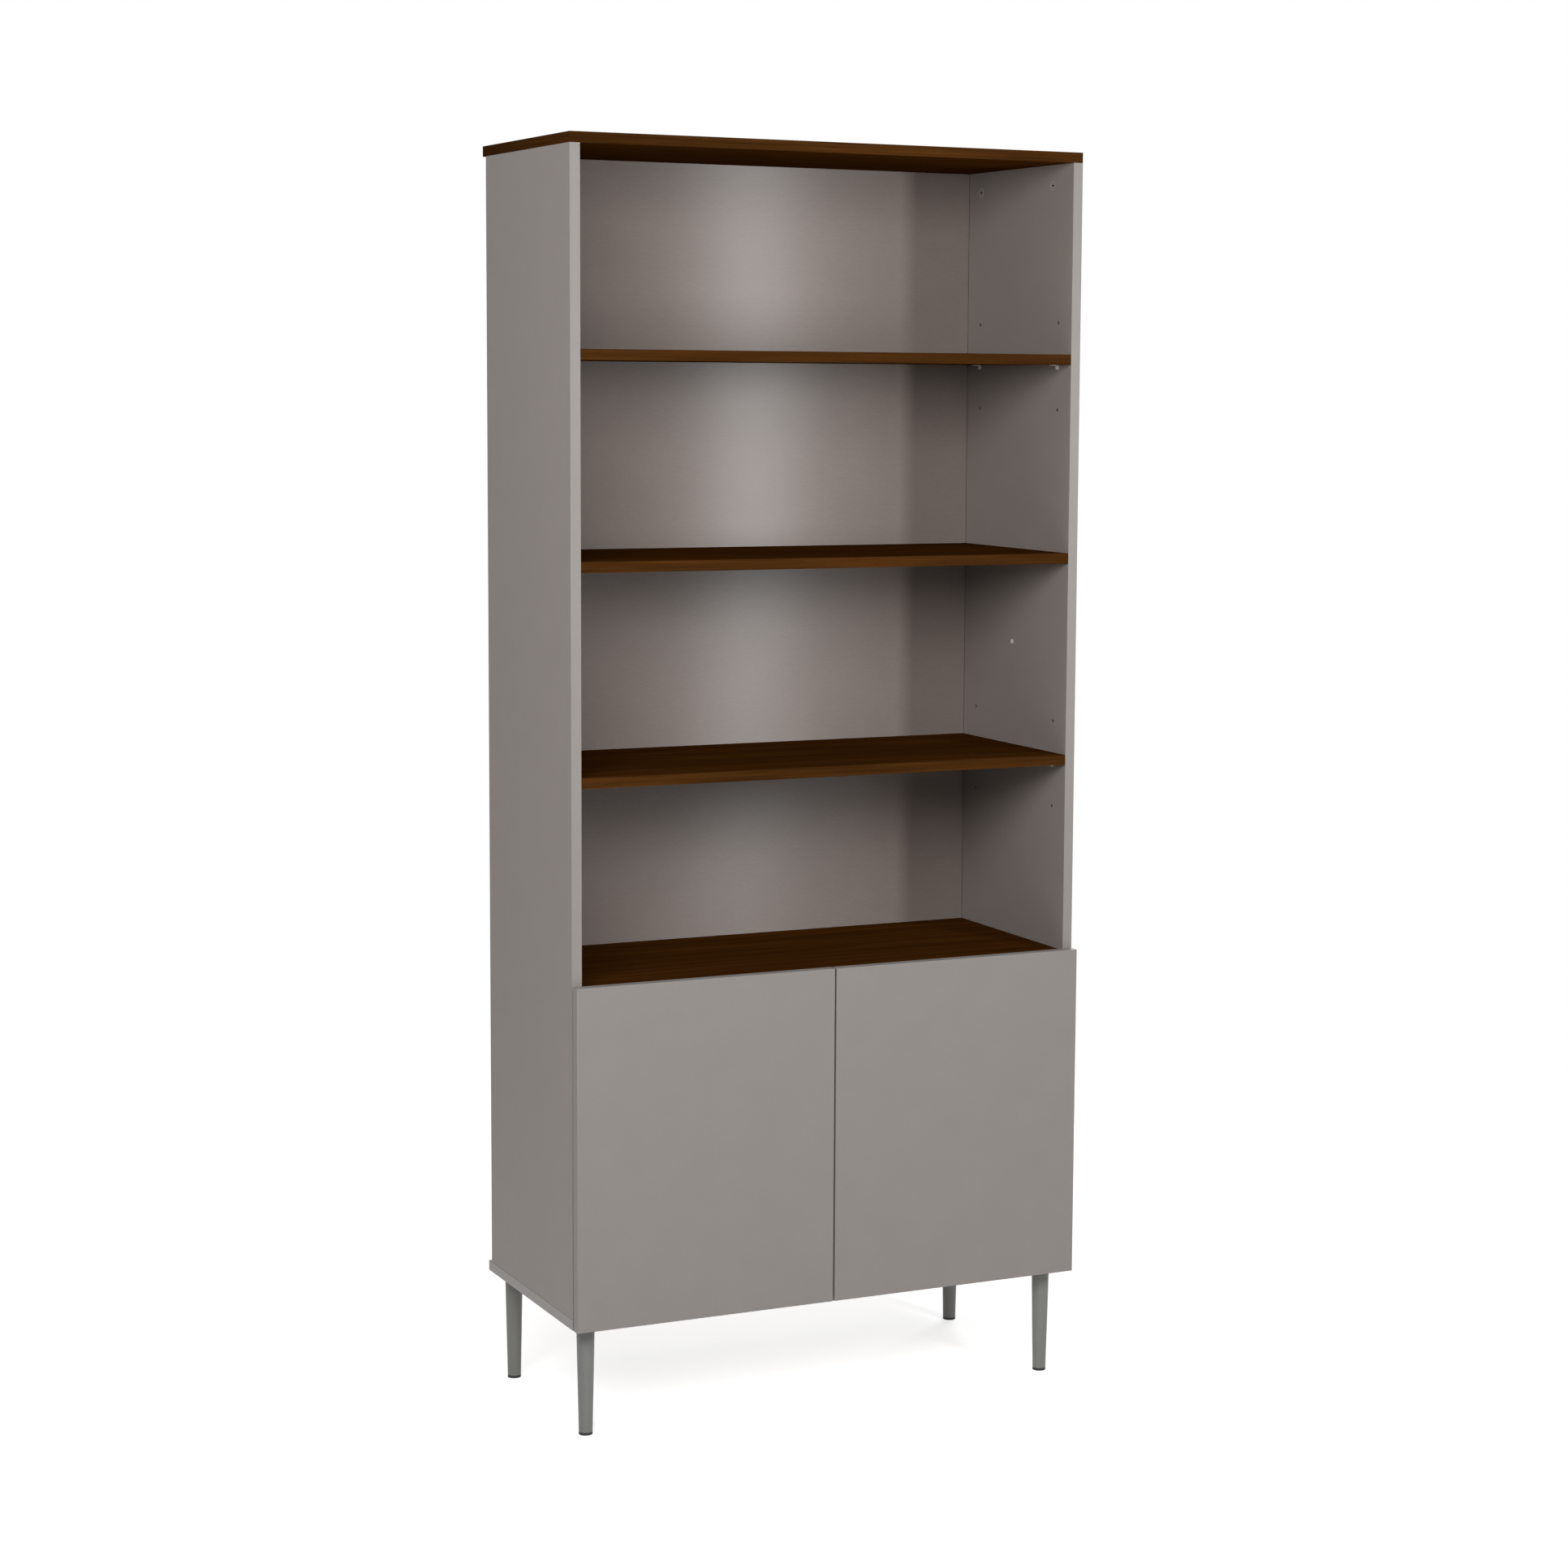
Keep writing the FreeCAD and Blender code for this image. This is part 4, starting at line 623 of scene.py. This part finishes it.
FLOOR_HALF = 9.0
FLOOR_CELLS = 12
FLOOR_PAINT = (0.88, 0.88, 0.88, 1.0)
FLOOR_GLOW = 0.62          # added to the paint for the camera, so that only the shadow shows
FLOOR_NEAR = 1.3           # metres from the middle where the floor starts to turn plain white
FLOOR_FAR = 2.8            # and where it is wholly white
bpy.ops.mesh.primitive_grid_add(x_subdivisions=FLOOR_CELLS, y_subdivisions=FLOOR_CELLS,
                                size=2 * FLOOR_HALF)
floor = bpy.context.object
floor.name = "studio_floor"
paint = bpy.data.materials.new("studio_floor")
paint.use_nodes = True
tree = paint.node_tree
tree.nodes.clear()
matt = tree.nodes.new("ShaderNodeBsdfDiffuse")
matt.inputs["Color"].default_value = FLOOR_PAINT
glow = tree.nodes.new("ShaderNodeEmission")
glow.inputs["Color"].default_value = WHITE
glow.inputs["Strength"].default_value = FLOOR_GLOW
near = tree.nodes.new("ShaderNodeAddShader")
tree.links.new(matt.outputs["BSDF"], near.inputs[0])
tree.links.new(glow.outputs["Emission"], near.inputs[1])
far = tree.nodes.new("ShaderNodeEmission")
far.inputs["Color"].default_value = WHITE
far.inputs["Strength"].default_value = 1.0
where = tree.nodes.new("ShaderNodeTexCoord")
reach = tree.nodes.new("ShaderNodeVectorMath")
reach.operation = "LENGTH"
tree.links.new(where.outputs["Object"], reach.inputs[0])
fade = tree.nodes.new("ShaderNodeMapRange")
fade.interpolation_type = "SMOOTHSTEP"
tree.links.new(reach.outputs["Value"], fade.inputs["Value"])
for socket, value in (("From Min", FLOOR_NEAR), ("From Max", FLOOR_FAR)):
    fade.inputs[socket].default_value = value
shown = tree.nodes.new("ShaderNodeMixShader")
tree.links.new(fade.outputs["Result"], shown.inputs["Fac"])
tree.links.new(near.outputs["Shader"], shown.inputs[1])
tree.links.new(far.outputs["Emission"], shown.inputs[2])
choice = tree.nodes.new("ShaderNodeMixShader")
tree.links.new(seen_directly(tree), choice.inputs["Fac"])
tree.links.new(matt.outputs["BSDF"], choice.inputs[1])
tree.links.new(shown.outputs["Shader"], choice.inputs[2])
output = tree.nodes.new("ShaderNodeOutputMaterial")
tree.links.new(choice.outputs["Shader"], output.inputs["Surface"])
dress(floor, paint)

# each lamp's place, aim, width, height and watts
LAMPS = {
    "key": ((-1.5, -2.3, 1.98), (0.2, 0.0, 1.0), 2.0, 1.0, 59.0),
    "tall_strip": ((0.93, -1.87, 1.45), (0.02, 0.16, 1.45), 0.14, 0.75, 12.6),
    "rear_fill": ((2.4, 2.8, 1.9), (0.0, 0.0, 0.9), 2.4, 2.0, 70.0),
    "above": ((0.0, -0.051, 3.2), (0.0, -0.05, 1.8), 0.95, 0.6, 14.0),
}
for name, (place, aim, width, height, watts) in LAMPS.items():
    lamp = bpy.data.lights.new(name, "AREA")
    lamp.shape = "RECTANGLE"
    lamp.size = width
    lamp.size_y = height
    lamp.energy = watts
    thing = bpy.data.objects.new(name, lamp)
    thing.location = place
    thing.rotation_euler = (Vector(aim) - Vector(place)).to_track_quat("-Z", "Y").to_euler()
    thing.visible_camera = False
    bpy.context.scene.collection.objects.link(thing)

# the camera that fits the photograph's lines; its centre is kept near the picture's middle
FRAME_PIXELS = 1932
FOCAL_PIXELS = 4028.71
CENTRE_X, CENTRE_Y = 1066, 930
YAW, PITCH, ROLL = 0.45473, -0.11393, 0.00757      # radians
EYE = (-2.00909, -4.38457, 1.49864)
SENSOR = 36.0                                      # millimetres
ahead = Vector((math.sin(YAW) * math.cos(PITCH), math.cos(YAW) * math.cos(PITCH),
                math.sin(PITCH)))
level = Vector((math.cos(YAW), -math.sin(YAW), 0.0))
upright = level.cross(ahead)
across = level * math.cos(ROLL) + upright * math.sin(ROLL)
upward = -level * math.sin(ROLL) + upright * math.cos(ROLL)
lens = bpy.data.cameras.new("camera")
lens.sensor_width = SENSOR
lens.lens = SENSOR * FOCAL_PIXELS / FRAME_PIXELS
lens.shift_x = (FRAME_PIXELS / 2 - CENTRE_X) / FRAME_PIXELS
lens.shift_y = (CENTRE_Y - FRAME_PIXELS / 2) / FRAME_PIXELS
camera = bpy.data.objects.new("camera", lens)
facing = Matrix((across, upward, -ahead)).transposed().to_4x4()
camera.matrix_world = Matrix.Translation(EYE) @ facing
bpy.context.scene.collection.objects.link(camera)
bpy.context.scene.camera = camera

bpy.context.scene.view_settings.view_transform = "Standard"
